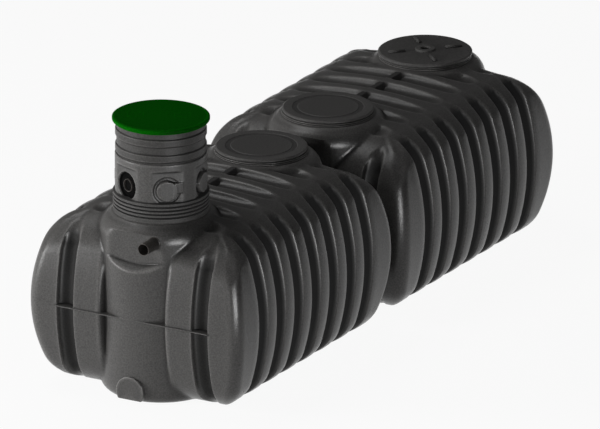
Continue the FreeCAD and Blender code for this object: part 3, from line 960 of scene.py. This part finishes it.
    def line_box(self) -> tuple[np.ndarray, Faces]:
        """Lay the mesh lines on a box round the tank.

        Returns:
            Points and faces of the box, without doubles.
        """
        lines = self.rows()
        boxes, faces, start = [], [], 0
        for axis in range(3):
            first, second = [other for other in range(3) if other != axis]
            for end in (0, -1):
                one, two = np.meshgrid(lines[first], lines[second], indexing="ij")
                grid = np.empty((one.size, 3))
                grid[:, first], grid[:, second] = one.ravel(), two.ravel()
                grid[:, axis] = lines[axis][end]
                boxes.append(grid)
                numbers = np.arange(one.size).reshape(one.shape) + start
                quads = np.stack([numbers[:-1, :-1], numbers[1:, :-1], numbers[1:, 1:], numbers[:-1, 1:]], axis=-1)
                faces.append(quads.reshape(-1, 4))
                start += one.size
        box, where = np.unique(np.round(np.concatenate(boxes), 6), axis=0, return_inverse=True)
        quads = where.reshape(-1)[np.concatenate(faces)]
        return box, [tuple(map(int, quad)) for quad in quads]

    def plain_mesh(self) -> tuple[np.ndarray, Faces]:
        """Draw the box of mesh lines onto the plain mould.

        Each point runs out from an inner core until it meets the mould.

        Returns:
            Points and faces of the closed skin.
        """
        box, faces = self.line_box()
        core = np.clip(box, self.core_low, self.core_high)
        low, high = np.zeros(len(box)), np.full(len(box), RUN_OUT)
        found = np.zeros(len(box), dtype=bool)
        for part in np.linspace(0.0, RUN_OUT, RUN_STEPS + 1)[1:]:
            outside = self.field(core + (box - core) * part) >= 0
            high = np.where(outside & ~found, part, high)
            found |= outside
            low = np.where(found, low, part)
        for _ in range(HALVINGS):
            middle = (low + high) / 2
            inside = self.field(core + (box - core) * middle[:, None]) < 0
            low, high = np.where(inside, middle, low), np.where(inside, high, middle)
        return core + (box - core) * ((low + high) / 2)[:, None], faces

    def carve_mask(self, points: np.ndarray) -> np.ndarray:
        """Say where grooves may cut: on the body, not on columns or the seam.

        Args:
            points: the skin's points, from the tank's middle.

        Returns:
            One value a point, from 0 to 1.
        """
        x, y, z = self.folded(points)
        free = smooth_step(*self.column_clear, self.column_field(x, y, z) - self.body_field(x, y, z))
        over, beside = self.fin_clear
        fin = (np.abs(z - self.seam) < self.fin_half + over) & (y < self.fin_span + beside) & (x > self.lobe_distance)
        return np.where(fin, 0.0, free)

    def outward(self, points: np.ndarray, facing: int) -> np.ndarray:
        """Find the direction out of the plain body in one upright plane.

        Args:
            points: the skin's points, from the tank's middle.
            facing: 0 for the plane along the tank, 1 for the plane across it.

        Returns:
            One unit vector a point.
        """
        step, result = 0.002, np.zeros_like(points)
        for axis in (facing, 2):
            shift = np.zeros(3)
            shift[axis] = step
            ahead, behind = (self.shell_field(*self.folded(moved)) for moved in (points + shift, points - shift))
            result[:, axis] = ahead - behind
        return result / np.maximum(np.linalg.norm(result, axis=1), 1e-9)[:, None]

    def groove_depth(self, points: np.ndarray, groove: UprightGroove, facing: int) -> np.ndarray:
        """Give the depth of upright grooves, which fade towards the deck and under the foot.

        Args:
            points: the skin's points, from the tank's middle.
            groove: the kind of groove.
            facing: 0 for the ends, 1 for the long sides.

        Returns:
            One depth a point.
        """
        half = (self.half_length, self.half_width)[facing]
        away = np.hypot(np.abs(points[:, facing]) - half, points[:, 2] - self.seam)
        left = (np.where(points[:, 2] > self.seam, groove.tip, groove.foot) - away) / groove.fade
        widest = math.sqrt(groove.radius**2 - (groove.radius - groove.depth) ** 2)
        wide = widest * np.sin(math.pi / 2 * np.clip(left, 0.0, 1.0))
        return groove.radius - np.sqrt(groove.radius**2 - wide**2) + self.fade_slope * np.clip(left, -1.0, 0.0)

    def cut_upright(
        self, item: bpy.types.Object, name: str, run: GrooveRun, groove: UprightGroove, sizes: dict[str, float]
    ) -> None:
        """Cut one row of upright grooves into the skin and paint shade onto their floors.

        Args:
            item: the skin.
            name: the row's name.
            run: the way that the grooves are spaced.
            groove: the kind of groove.
            sizes: the row's sizes, as SkinGrooves takes them.
        """
        before = points_of(item.data)
        facing = 0 if run is GrooveRun.ACROSS else 1
        depth = self.groove_depth(before, groove, facing)
        keep_values(item.data, DEPTH, depth)
        keep_values(item.data, OUTWARD, self.outward(before, facing))
        SkinGrooves(name, run, sizes, TANK.material()).apply(item)
        # Paint shade onto each groove: full towards its floor where the groove is deep, none at its lips
        pushed = np.linalg.norm(points_of(item.data) - before, axis=1)
        share = pushed / np.maximum(depth, self.least_depth)
        dark = groove.dark * smooth_step(*self.dark_depth, depth)
        self.darken(item, dark * smooth_step(groove.dark_from, groove.dark_to, share))

    def cut_deck(self, item: bpy.types.Object, sizes: dict[str, float]) -> None:
        """Cut the cross grooves of the deck, leave a web at the middle of each and paint shade onto it.

        Args:
            item: the skin.
            sizes: the row's sizes, as SkinGrooves takes them.
        """
        before = points_of(item.data)
        x, y, z = before.T
        above = z > self.seam
        away = smooth_step(self.web_half - self.web_soft, self.web_half + self.web_soft, np.abs(y))
        deep = np.where(above, self.crown_depth * (1.0 - (y / self.crown_span) ** 4), -1.0)
        keep_values(item.data, DEPTH, np.where(deep > 0, deep * away, deep))
        keep_values(item.data, OUTWARD, np.tile((0.0, 0.0, 1.0), (len(before), 1)))
        SkinGrooves("deck_grooves", GrooveRun.ALONG, sizes, TANK.material()).apply(item)
        # Paint shade onto the web of each deck groove
        gap = x - np.round(x / self.rib_pitch) * self.rib_pitch
        web = above & (np.abs(y) < self.web_half + self.web_dark_margin) & (np.abs(gap) < self.web_dark_length)
        web &= np.abs(x) < self.web_dark_pitches * self.rib_pitch
        self.darken(item, np.where(web, self.web_dark, 0.0))

    @staticmethod
    def darken(item: bpy.types.Object, shade: np.ndarray) -> None:
        """Keep the darker of the skin's painted shade so far and a new one.

        Args:
            item: the skin.
            shade: one value a point, 0 for none.
        """
        known = np.empty(len(shade))
        item.data.attributes[PAINTED_SHADE].data.foreach_get("value", known)
        keep_values(item.data, PAINTED_SHADE, np.maximum(known, shade))

    def build(self) -> None:
        """Make the skin, cut the grooves, set it in the row and add the ports."""
        item = mesh_object(f"{self.name}_skin", *self.plain_mesh())
        places = points_of(item.data)
        keep_values(item.data, CARVE, self.carve_mask(places))
        keep_values(item.data, PAINTED_SHADE, np.zeros(len(places)))
        half = (self.rib_count - 1) / 2
        ribs = {"Pitch": self.rib_pitch, "Shift": 0.0, "First": -half, "Last": half, "Lip": self.lip}
        pair = {"Pitch": 2 * self.channel_offset, "Shift": 0.5, "First": -0.5, "Last": 0.5, "Lip": self.lip}
        sides = ribs | {"Radius": self.groove.radius, "Bulge": self.rib_bulge}
        channels = pair | {"Radius": self.channel.radius, "Bulge": 0.0}
        self.cut_upright(item, "side_grooves", GrooveRun.ALONG, self.groove, sides)
        self.cut_upright(item, "end_channels", GrooveRun.ACROSS, self.channel, channels)
        self.cut_deck(item, ribs | {"Radius": self.crown_radius, "Bulge": 0.0})
        self.place_skin(item)
        self.build_ports()
        parts = ("floor", "roof", "front_end", "rear_end", "left_wall", "right_wall")
        settle(item, TANK, *(f"{self.name}_{part}" for part in parts))

    def build_ports(self) -> None:
        """Set the round blank port on the foot of each column, cut level above the floor."""
        reach = self.neck_distance + self.column + self.port_reach
        start, rim = reach - self.port_depth, self.port_radius
        profile = [(0.0, start), (rim, start), (rim, reach), *((rim - ring, reach) for ring in self.port_rings)]
        profile = rounded([*profile, (0.0, reach)], self.port_edge, 6)
        middle = Vector((self.middle_x, 0.0, self.port_height))
        for end, label in ((-1, "front"), (1, "rear")):
            shape = revolve(profile, middle, end * X_WAY, self.port_turns)
            item = mesh_object(f"{self.name}_{label}_port", *shape)
            work = bmesh.new()
            work.from_mesh(item.data)
            everything = work.verts[:] + work.edges[:] + work.faces[:]
            cut = bmesh.ops.bisect_plane(
                work, geom=everything, plane_co=(0, 0, self.port_floor), plane_no=(0, 0, 1), clear_inner=True
            )
            edges = [edge for edge in cut["geom_cut"] if isinstance(edge, bmesh.types.BMEdge)]
            bmesh.ops.edgeloop_fill(work, edges=edges)
            work.to_mesh(item.data)
            work.free()
            close_mesh(item.data)
            item.data.set_sharp_from_angle(angle=math.radians(SHARP_ROUND))
            settle(item, TANK)

    def place_skin(self, item: bpy.types.Object) -> None:
        """Join the flat floor into one face, move the skin to its place and shade it.

        Args:
            item: the carved skin.
        """
        work = bmesh.new()
        work.from_mesh(item.data)
        flat = [face for face in work.faces if all(abs(v.co.z) < FLAT for v in face.verts)]
        bmesh.ops.dissolve_faces(work, faces=flat)
        for vert in work.verts:
            vert.co.x += self.middle_x
        bmesh.ops.recalc_face_normals(work, faces=work.faces)
        for face in work.faces:
            face.smooth = True
        work.to_mesh(item.data)
        work.free()
        for name in (CARVE, DEPTH, OUTWARD):
            item.data.attributes.remove(item.data.attributes[name])
        item.data.set_sharp_from_angle(angle=math.radians(SHARP_SKIN))


@dataclass
class AccessRiser:
    """The riser on the first neck: grooved sleeve, faceted waist with sockets, banded extension and lid."""

    axis_x: float
    base: float = 1.340
    sleeve_radius: float = 0.345
    sleeve_top: float = 1.492
    sleeve_edge: float = 0.003
    # How much darker the whole sleeve is, and where the darker tone starts
    sleeve_dark: float = 0.30
    sleeve_dark_edge: tuple[float, float] = (0.004, -0.002)
    groove_pitch: float = 0.027
    groove_count: int = 4
    groove_half: float = 0.0055
    groove_soft: float = 0.0035
    groove_cut: float = 0.010
    # Painted shade in the sleeve's ring grooves, and the cut depths over which it grows
    groove_dark: float = 0.55
    groove_dark_depth: tuple[float, float] = (0.002, 0.009)
    waist_radius: float = 0.330
    waist_top: float = 1.779
    rim_low: float = 0.005
    rim_high: float = 0.006
    rim_round: float = 0.004
    flat_distance: float = 0.310
    flat_top: float = 1.724
    flat_soft: float = 0.010
    flat_edge: float = 0.006
    flat_reach: float = 0.55
    least_facing: float = 0.2
    socket_count: int = 6
    socket_start: float = 158.0
    socket_turn: float = 60.0
    socket_height: float = 1.582
    socket_reach: float = 0.6
    socket_edge: float = 0.004
    recess_radius: float = 0.100
    recess_floor: float = 0.299
    hole_floor: float = 0.284
    hole_edge: float = 0.003
    plug_radius: float = 0.074
    plug_reach: float = 0.331
    plug_proud: float = 0.004
    lug_side: float = 0.084
    lug_half: float = 0.034
    lug_rise: float = 0.020
    lug_half_tall: float = 0.040
    lug_reach: float = 0.325
    lug_proud: float = 0.002
    lug_limit: float = 0.3
    tube_radius: float = 0.318
    top: float = 2.010
    band_low: float = 1.796
    band_height: float = 0.052
    band_pitch: float = 0.116
    band_count: int = 2
    band_push: float = 0.0095
    band_soft: float = 0.006
    lid_radius: float = 0.350
    lid_thickness: float = 0.038
    lid_edge: float = 0.005
    grip_places: tuple[tuple[float, float], ...] = ((-0.072, 0.166), (0.088, -0.128))
    grip_length: float = 0.116
    grip_width: float = 0.096
    grip_bar: float = 0.005
    grip_height: float = 0.0010
    grip_turn: float = -60.2
    grip_floor: float = 0.0032
    turns: int = 448
    lid_turns: int = 192
    lining_turns: int = 72

    def shaft_radius(self, angle: np.ndarray, height: np.ndarray) -> np.ndarray:
        """Distance of the shaft's skin from its axis.

        Args:
            angle: direction of each point, in radians from +X.
            height: height of each point.

        Returns:
            The distances.
        """
        waist = np.full_like(angle, self.waist_radius)
        tall, up = fall(self.flat_top, self.flat_soft, height), height - self.socket_height
        for number in range(self.socket_count):
            middle = math.radians(self.socket_start + number * self.socket_turn)
            turn = (angle - middle + math.pi) % (2 * math.pi) - math.pi
            facing = np.maximum(np.cos(turn), self.least_facing)
            flat = smooth_min(waist, self.flat_distance / facing, self.flat_edge)
            waist = np.where(np.abs(turn) < self.flat_reach, blend(waist, flat, tall), waist)
            across = self.flat_distance * np.sin(turn) / facing
            far = np.where(np.abs(turn) < self.socket_reach, np.hypot(across, up), 1.0)
            if number == 0:
                waist = blend(waist, self.hole_floor / facing, fall(self.recess_radius, self.hole_edge, far))
                continue
            waist = blend(waist, self.recess_floor / facing, fall(self.recess_radius, self.socket_edge, far))
            beside, above = np.abs(across - self.lug_side), np.abs(up - self.lug_rise)
            lug = np.maximum(beside - self.lug_half, above - self.lug_half_tall)
            raised = fall(0.0, self.socket_edge, lug) * (far < self.lug_limit)
            waist = blend(waist, np.minimum(self.lug_reach / facing, self.waist_radius + self.lug_proud), raised)
            plug = np.minimum(self.plug_reach / facing, self.waist_radius + self.plug_proud)
            waist = blend(waist, plug, fall(self.plug_radius, self.socket_edge, far))
        return blend(waist, self.sleeve_radius, fall(self.sleeve_top, self.sleeve_edge, height))

    @staticmethod
    def grid(heights: np.ndarray, turns: int) -> list[np.ndarray]:
        """Cross a row of heights with even turns, as grids of heights and of angles."""
        return np.meshgrid(heights, np.linspace(0, 2 * math.pi, turns, endpoint=False), indexing="ij")

    def wrapped(self, name: str, tall: np.ndarray, around: np.ndarray, radius: np.ndarray) -> bpy.types.Object:
        """Close a grid of heights and angles into a capped round body with the carve mask.

        Args:
            name: the piece's name.
            tall: heights, one row a level.
            around: angles, one column a direction.
            radius: distances from the riser's axis.

        Returns:
            The new object.
        """
        verts = np.stack([self.axis_x + radius * np.cos(around), radius * np.sin(around), tall], axis=-1)
        rows, turns = tall.shape
        faces = ring_faces(rows, turns)
        faces += [tuple(range(turns))[::-1], tuple(range((rows - 1) * turns, rows * turns))]
        item = mesh_object(name, verts.reshape(-1, 3), faces, SHARP_ROUND)
        keep_values(item.data, CARVE, np.ones(len(item.data.vertices)))
        return item

    def build_shaft(self) -> None:
        """Make the sleeve and the waist, with the sleeve's grooves cut by the ring tree."""
        heights = spread(
            (self.base, 1.360, 3), (1.360, 1.478, 54), (1.478, 1.500, 10), (1.500, 1.685, 46),
            (1.685, 1.740, 14), (1.740, self.waist_top, 6),
        )
        tall, around = self.grid(heights, self.turns)
        radius = self.shaft_radius(around.ravel(), tall.ravel()).reshape(tall.shape)
        edge = np.minimum((heights - self.base) / self.rim_low, (self.waist_top - heights) / self.rim_high)
        radius = radius - self.rim_round * (1 - np.clip(edge, 0, 1))[:, None] ** 2
        item = self.wrapped("riser_shaft_body", tall, around, radius)
        sizes = {
            "Pitch": self.groove_pitch, "Shift": 0.0, "First": -float(self.groove_count), "Last": -1.0,
            "Base": self.sleeve_top, "Half": self.groove_half, "Soft": self.groove_soft, "Push": -self.groove_cut,
            "Axis": self.axis_x,
        }
        RingBands(sizes, RISER.material()).apply(item)
        # Darken the whole sleeve and paint shade into its ring grooves by their depth
        x, y, z = points_of(item.data).T
        cut = smooth_step(*self.groove_dark_depth, self.sleeve_radius - np.hypot(x - self.axis_x, y))
        low = smooth_step(*self.sleeve_dark_edge, z - self.sleeve_top)
        keep_values(item.data, PAINTED_SHADE, low * (self.sleeve_dark + self.groove_dark * cut))
        settle(item, RISER, "riser_sleeve", "riser_shaft")

    def build_extension(self) -> None:
        """Make the tube under the lid, with its bands raised by the ring tree."""
        heights = spread((self.waist_top, 1.785, 3), (1.785, 1.975, 76), (1.975, self.top, 5))
        tall, around = self.grid(heights, self.turns // 2)
        item = self.wrapped("riser_extension_tube", tall, around, np.full_like(tall, self.tube_radius))
        half = self.band_height / 2
        sizes = {
            "Pitch": self.band_pitch, "Shift": 0.0, "First": 0.0, "Last": self.band_count - 1.0,
            "Base": self.band_low + half, "Half": half, "Soft": self.band_soft, "Push": self.band_push,
            "Axis": self.axis_x,
        }
        RingBands(sizes, TUBE.material()).apply(item)
        settle(item, TUBE, "riser_extension")

    def build_socket_lining(self) -> None:
        """Set a black rubber seal ring, whose closed middle is a dark disc standing for the shade inside the open
        socket, and the end of the inlet pipe into the socket.
        """
        angle = math.radians(self.socket_start)
        out = Vector((math.cos(angle), math.sin(angle), 0.0))
        centre = Vector((self.axis_x, 0.0, self.socket_height))
        # The seal's profile starts at the axis, so its black rubber also closes the bore: painted shade as a dark
        # disc inside the open socket
        seal = [
            (0.002, 0.286), (0.002, 0.288), (0.047, 0.288), (0.054, 0.296), (0.066, 0.290), (0.086, 0.289),
            (0.092, 0.299), (0.0985, 0.301), (0.0985, 0.286),
        ]
        pipe = [(0.0435, 0.286), (0.0435, 0.302), (0.0465, 0.302), (0.0465, 0.286)]
        for name, profile, edge, finish in (
            ("inlet_seal_shade_disc", seal, 0.003, RUBBER), ("inlet_pipe_end", pipe, 0.0008, PIPE)
        ):
            shape = revolve(rounded(profile, edge), centre, out, self.lining_turns, hollow=True)
            settle(mesh_object(name, *shape), finish)

    def build_lid(self) -> None:
        """Make the flat green lid with its rounded rim and two grip frames."""
        low, high, rim = self.top, self.top + self.lid_thickness, self.lid_radius
        profile = [
            (0.0, low), (rim - 0.016, low), (rim - 0.004, low + 0.008), (rim, low + 0.014), (rim, high - 0.006),
            (rim - 0.012, high - 0.001), (rim - 0.030, high - 0.003), (0.0, high - 0.003),
        ]
        for number, (x, y) in enumerate(self.grip_places):
            points, faces = bar_frame(
                self.grip_length, self.grip_width, self.grip_bar, self.grip_height, self.grip_turn
            )
            points += np.array((self.axis_x + x, y, high - self.grip_floor))
            settle(mesh_object(f"riser_lid_grip_{number}", points, faces), LID)
        shape = revolve(rounded(profile, self.lid_edge), Vector((self.axis_x, 0, 0)), UP, self.lid_turns)
        settle(mesh_object("riser_lid_disc", *shape), LID, "riser_lid")

    def build(self) -> None:
        """Make every piece of the riser."""
        self.build_shaft()
        self.build_extension()
        self.build_socket_lining()
        self.build_lid()


class CoverKind(Enum):
    """What stands on a neck: one of the two kinds of cover, or the riser."""

    BLANK = "blank"
    GRIP = "grip"
    RISER = "riser"


@dataclass
class NeckCover:
    """A neck collar with sealing rings and the cover that closes it."""

    node: str
    neck: str
    axis_x: float
    kind: CoverKind
    ledge: float = 1.340
    collar_top: float = 1.365
    collar_radius: float = 0.315
    collar_edge: float = 0.0015
    ring_radius: float = 0.340
    ring_count: int = 2
    ring_height: float = 0.006
    ring_slope: float = 0.001
    bore: float = 0.300
    cover_radius: float = 0.334
    cover_top: float = 1.385
    cover_edge: float = 0.003
    grip_radius: float = 0.345
    grip_top: float = 1.391
    grip_edge: float = 0.004
    hub_radius: float = 0.070
    hub_top: float = 1.405
    bar_count: int = 4
    bar_distance: float = 0.215
    bar_length: float = 0.130
    bar_width: float = 0.034
    bar_height: float = 0.015
    bar_root: float = 0.002
    bar_edge: float = 0.006
    turns: int = 160

    def lathe(self, name: str, profile: Profile, finish: PlasticFinish, node: str, hollow: bool = False) -> None:
        """Turn a profile about the neck's axis.

        Args:
            name: the piece's name.
            profile: (radius, height) points from the axis, under side first.
            finish: the piece's finish.
            node: the solid that it replaces.
            hollow: whether the profile closes on its own start.
        """
        shape = revolve(profile, Vector((self.axis_x, 0, 0)), UP, self.turns, hollow)
        settle(mesh_object(name, *shape), finish, node)

    def build_collar(self) -> None:
        """Make the collar with its rings."""
        inner, outer = self.collar_radius, self.ring_radius
        profile = [(self.bore, self.ledge), (inner, self.ledge)]
        for step in range(self.ring_count):
            low = self.ledge + self.ring_height * (2 * step + 0.5)
            high = low + self.ring_height
            profile += [(inner, low), (outer, low + self.ring_slope), (outer, high - self.ring_slope), (inner, high)]
        profile += [(inner, self.collar_top), (self.bore, self.collar_top)]
        self.lathe(f"{self.neck}_ring", rounded(profile, self.collar_edge, 3), TANK, self.neck, hollow=True)

    def build_blank(self) -> None:
        """Make the plain cover with a ring trough round a flat middle."""
        low, top, rim = self.collar_top, self.cover_top, self.cover_radius
        profile = [
            (0.0, low), (rim - 0.004, low), (rim, low + 0.004), (rim, top - 0.007), (rim - 0.010, top), (0.262, top),
            (0.258, top - 0.003), (0.224, top - 0.003), (0.220, top), (0.205, top), (0.190, top), (0.0, top),
        ]
        self.lathe(f"{self.node}_disc", rounded(profile, self.cover_edge), COVER, self.node)

    def build_grip(self) -> None:
        """Make the screw cover with a bored hub and raised grips."""
        low, top, rim, hub = self.collar_top, self.grip_top, self.grip_radius, self.hub_top
        profile = [
            (0.0, low), (rim - 0.006, low), (rim, low + 0.004), (rim, top - 0.008), (rim - 0.012, top),
            (self.hub_radius + 0.006, top), (self.hub_radius, hub), (0.036, hub), (0.030, hub - 0.010),
            (0.030, top - 0.006), (0.0, top - 0.006),
        ]
        self.lathe(f"{self.node}_disc", rounded(profile, self.grip_edge), COVER, self.node)
        self.build_bars()

    def build_bars(self) -> None:
        """Set the raised grips on the screw cover, with rounded edges."""
        work = bmesh.new()
        size = Matrix.Diagonal((self.bar_length, self.bar_width, self.bar_height + self.bar_root, 1.0))
        height = self.grip_top + (self.bar_height - self.bar_root) / 2
        for number in range(self.bar_count):
            turn = math.radians((number + 0.5) * 360 / self.bar_count)
            place = Matrix.Rotation(turn, 4, "Z") @ Matrix.Translation((self.bar_distance, 0, 0))
            place = Matrix.Translation((self.axis_x, 0, height)) @ place
            bmesh.ops.create_cube(work, size=1.0, matrix=place @ size)
        bmesh.ops.bevel(work, geom=work.edges[:], offset=self.bar_edge, segments=3, affect="EDGES")
        mesh = bpy.data.meshes.new(f"{self.node}_bars")
        work.to_mesh(mesh)
        work.free()
        close_mesh(mesh)
        item = bpy.data.objects.new(mesh.name, mesh)
        bpy.context.scene.collection.objects.link(item)
        settle(item, COVER)

    def build(self) -> None:
        """Make the collar and what closes it."""
        self.build_collar()
        if self.kind is CoverKind.BLANK:
            self.build_blank()
        elif self.kind is CoverKind.GRIP:
            self.build_grip()


@dataclass
class Pipework:
    """The overflow stub, and the finish of the pipes and seals that keep their solids."""

    pipe_radius: float = 0.045
    pipe_wall: float = 0.004
    pipe_edge: float = 0.002
    flange_radius: float = 0.050
    flange: float = 0.008
    flange_slope: float = 0.004
    root: float = 0.060
    root_shown: float = 0.055
    turns: int = 80

    def build(self) -> None:
        """Make the stub and dress the solids that show as they are."""
        low, high = (Vector(corner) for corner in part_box("overflow_stub"))
        face = Vector((high.x - self.root, (low.y + high.y) / 2, (low.z + high.z) / 2))
        run = high.x - self.root - low.x
        outer, bore, wide = self.pipe_radius, self.pipe_radius - self.pipe_wall, self.flange_radius
        profile = [
            (bore, -self.root_shown), (bore, run), (outer, run), (outer, self.flange + self.flange_slope),
            (wide, self.flange), (wide, 0.0), (outer, 0.0), (outer, -self.root_shown),
        ]
        shape = revolve(rounded(profile, self.pipe_edge, 3), face, -X_WAY, self.turns, hollow=True)
        settle(mesh_object("overflow_stub_pipe", *shape), PIPE, "overflow_stub")
        seals = ("balance_seal_front", "balance_seal_rear", "riser_seal")
        for node, finish in (("balance_pipe", PIPE), *((seal, RUBBER) for seal in seals)):
            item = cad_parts[node]
            item.data.materials.clear()
            item.data.materials.append(finish.material())
            log.info("%s keeps its solid", node)


@dataclass(frozen=True)
class SoftLamp:
    """One soft square lamp; it may light surfaces, show in reflections, or both."""

    name: str
    place: tuple[float, float, float]
    size: float
    power: float
    diffuse: bool = True
    glossy: bool = True

    def hang(self, aim: Vector) -> None:
        """Hang the lamp in its place.

        Args:
            aim: the point that it looks at.
        """
        data = bpy.data.lights.new(self.name, "AREA")
        data.shape = "SQUARE"
        data.size = self.size
        data.energy = self.power
        item = bpy.data.objects.new(self.name, data)
        item.location = self.place
        item.rotation_euler = (aim - Vector(self.place)).to_track_quat("-Z", "Y").to_euler()
        item.visible_diffuse, item.visible_glossy = self.diffuse, self.glossy
        bpy.context.scene.collection.objects.link(item)


LAMPS = (
    SoftLamp("key_lamp", (-9.4, 8.4, 3.0), 4.0, 900.0),
    SoftLamp("front_lamp", (-12.5, -1.5, 2.6), 3.0, 110.0),
    SoftLamp("side_lamp", (-8.1, -10.0, 1.7), 5.0, 1800.0, diffuse=False),
    SoftLamp("top_lamp", (-1.0, 4.5, 11.0), 4.0, 240.0),
    SoftLamp("far_lamp", (13.2, -6.7, 1.5), 5.0, 240.0, glossy=False),
)


@dataclass
class Studio:
    """Pale floor, soft lamps, even surroundings and the camera."""

    target: tuple[float, float, float] = (0.1373, 0.0126, 0.671)
    right: tuple[float, float] = (0.4969, -0.8678)
    elevation: float = 19.6
    distance: float = 130.0
    width: float = 4.340
    sensor: float = 36.0
    view_limit: float = 400.0
    lamp_aim: tuple[float, float, float] = (0.0, 0.0, 0.7)
    sky_strength: float = 0.06
    floor_radius: float = 45.0
    floor_drop: float = 0.002
    floor_tone: float = 0.9
    floor_rough: float = 0.9
    floor_white: float = 0.93

    def build_floor(self) -> None:
        """Lay a wide pale floor that shows white to the camera and keeps the shadow."""
        bpy.ops.mesh.primitive_circle_add(
            vertices=96, radius=self.floor_radius, fill_type="NGON", location=(0, 0, -self.floor_drop)
        )
        floor = bpy.context.object
        floor.name = "studio_floor"
        made = bpy.data.materials.new("studio_floor")
        made.use_nodes = True
        graph, nodes = Graph(made.node_tree), made.node_tree.nodes
        shader = nodes["Principled BSDF"]
        shader.inputs["Base Color"].default_value = (self.floor_tone, self.floor_tone, self.floor_tone, 1.0)
        shader.inputs["Roughness"].default_value = self.floor_rough
        shader.inputs["Specular IOR Level"].default_value = 0.0
        glow, mix = graph.add("ShaderNodeEmission"), graph.add("ShaderNodeMixShader")
        rays = graph.add("ShaderNodeLightPath").outputs
        mirrored = graph.math("MAXIMUM", rays["Is Glossy Ray"], rays["Is Transmission Ray"])
        seen = graph.math("MAXIMUM", rays["Is Camera Ray"], mirrored)
        graph.feed(mix.inputs[0], graph.math("MULTIPLY", seen, self.floor_white))
        graph.feed(mix.inputs[1], shader.outputs[0])
        graph.feed(mix.inputs[2], glow.outputs[0])
        graph.feed(nodes["Material Output"].inputs["Surface"], mix.outputs[0])
        floor.data.materials.append(made)

    def build_world(self) -> None:
        """Make the surroundings an even dim grey."""
        world = bpy.data.worlds.new("studio_world")
        bpy.context.scene.world = world
        world.use_nodes = True
        sky = world.node_tree.nodes["Background"]
        sky.inputs["Color"].default_value = (1.0, 1.0, 1.0, 1.0)
        sky.inputs["Strength"].default_value = self.sky_strength

    def build_camera(self) -> None:
        """Set a long lens at the photograph's angle."""
        tilt = math.radians(self.elevation)
        level = Vector((self.right[1], -self.right[0], 0.0)).normalized()
        back = level * math.cos(tilt) + UP * math.sin(tilt)
        data = bpy.data.cameras.new("camera")
        data.sensor_width = self.sensor
        data.lens = self.sensor * self.distance / self.width
        data.clip_end = self.view_limit
        item = bpy.data.objects.new("camera", data)
        item.location = Vector(self.target) + back * self.distance
        item.rotation_euler = (-back).to_track_quat("-Z", "Y").to_euler()
        bpy.context.scene.collection.objects.link(item)
        bpy.context.scene.camera = item

    def build(self) -> None:
        """Make the whole studio."""
        self.build_floor()
        self.build_world()
        for lamp in LAMPS:
            lamp.hang(Vector(self.lamp_aim))
        self.build_camera()
        bpy.context.scene.view_settings.view_transform = "Standard"


def middle_x(node: str) -> float:
    """Find the middle of a solid along the row."""
    low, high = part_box(node)
    return (low[0] + high[0]) / 2


def main() -> None:
    """Build every sub-assembly in order."""
    for name in ("front_tank", "rear_tank"):
        MouldedTank(name, middle_x(f"{name}_roof")).build()
    riser_neck = "front_tank_front_neck"
    necks = (
        ("front_blank_cover", "front_tank_rear_neck", CoverKind.BLANK),
        ("rear_blank_cover", "rear_tank_front_neck", CoverKind.BLANK),
        ("rear_grip_cover", "rear_tank_rear_neck", CoverKind.GRIP),
        ("riser", riser_neck, CoverKind.RISER),
    )
    for node, neck, kind in necks:
        NeckCover(node, neck, middle_x(neck), kind).build()
    AccessRiser(middle_x(riser_neck)).build()
    Pipework().build()
    Studio().build()


if __name__ == "__main__":
    main()
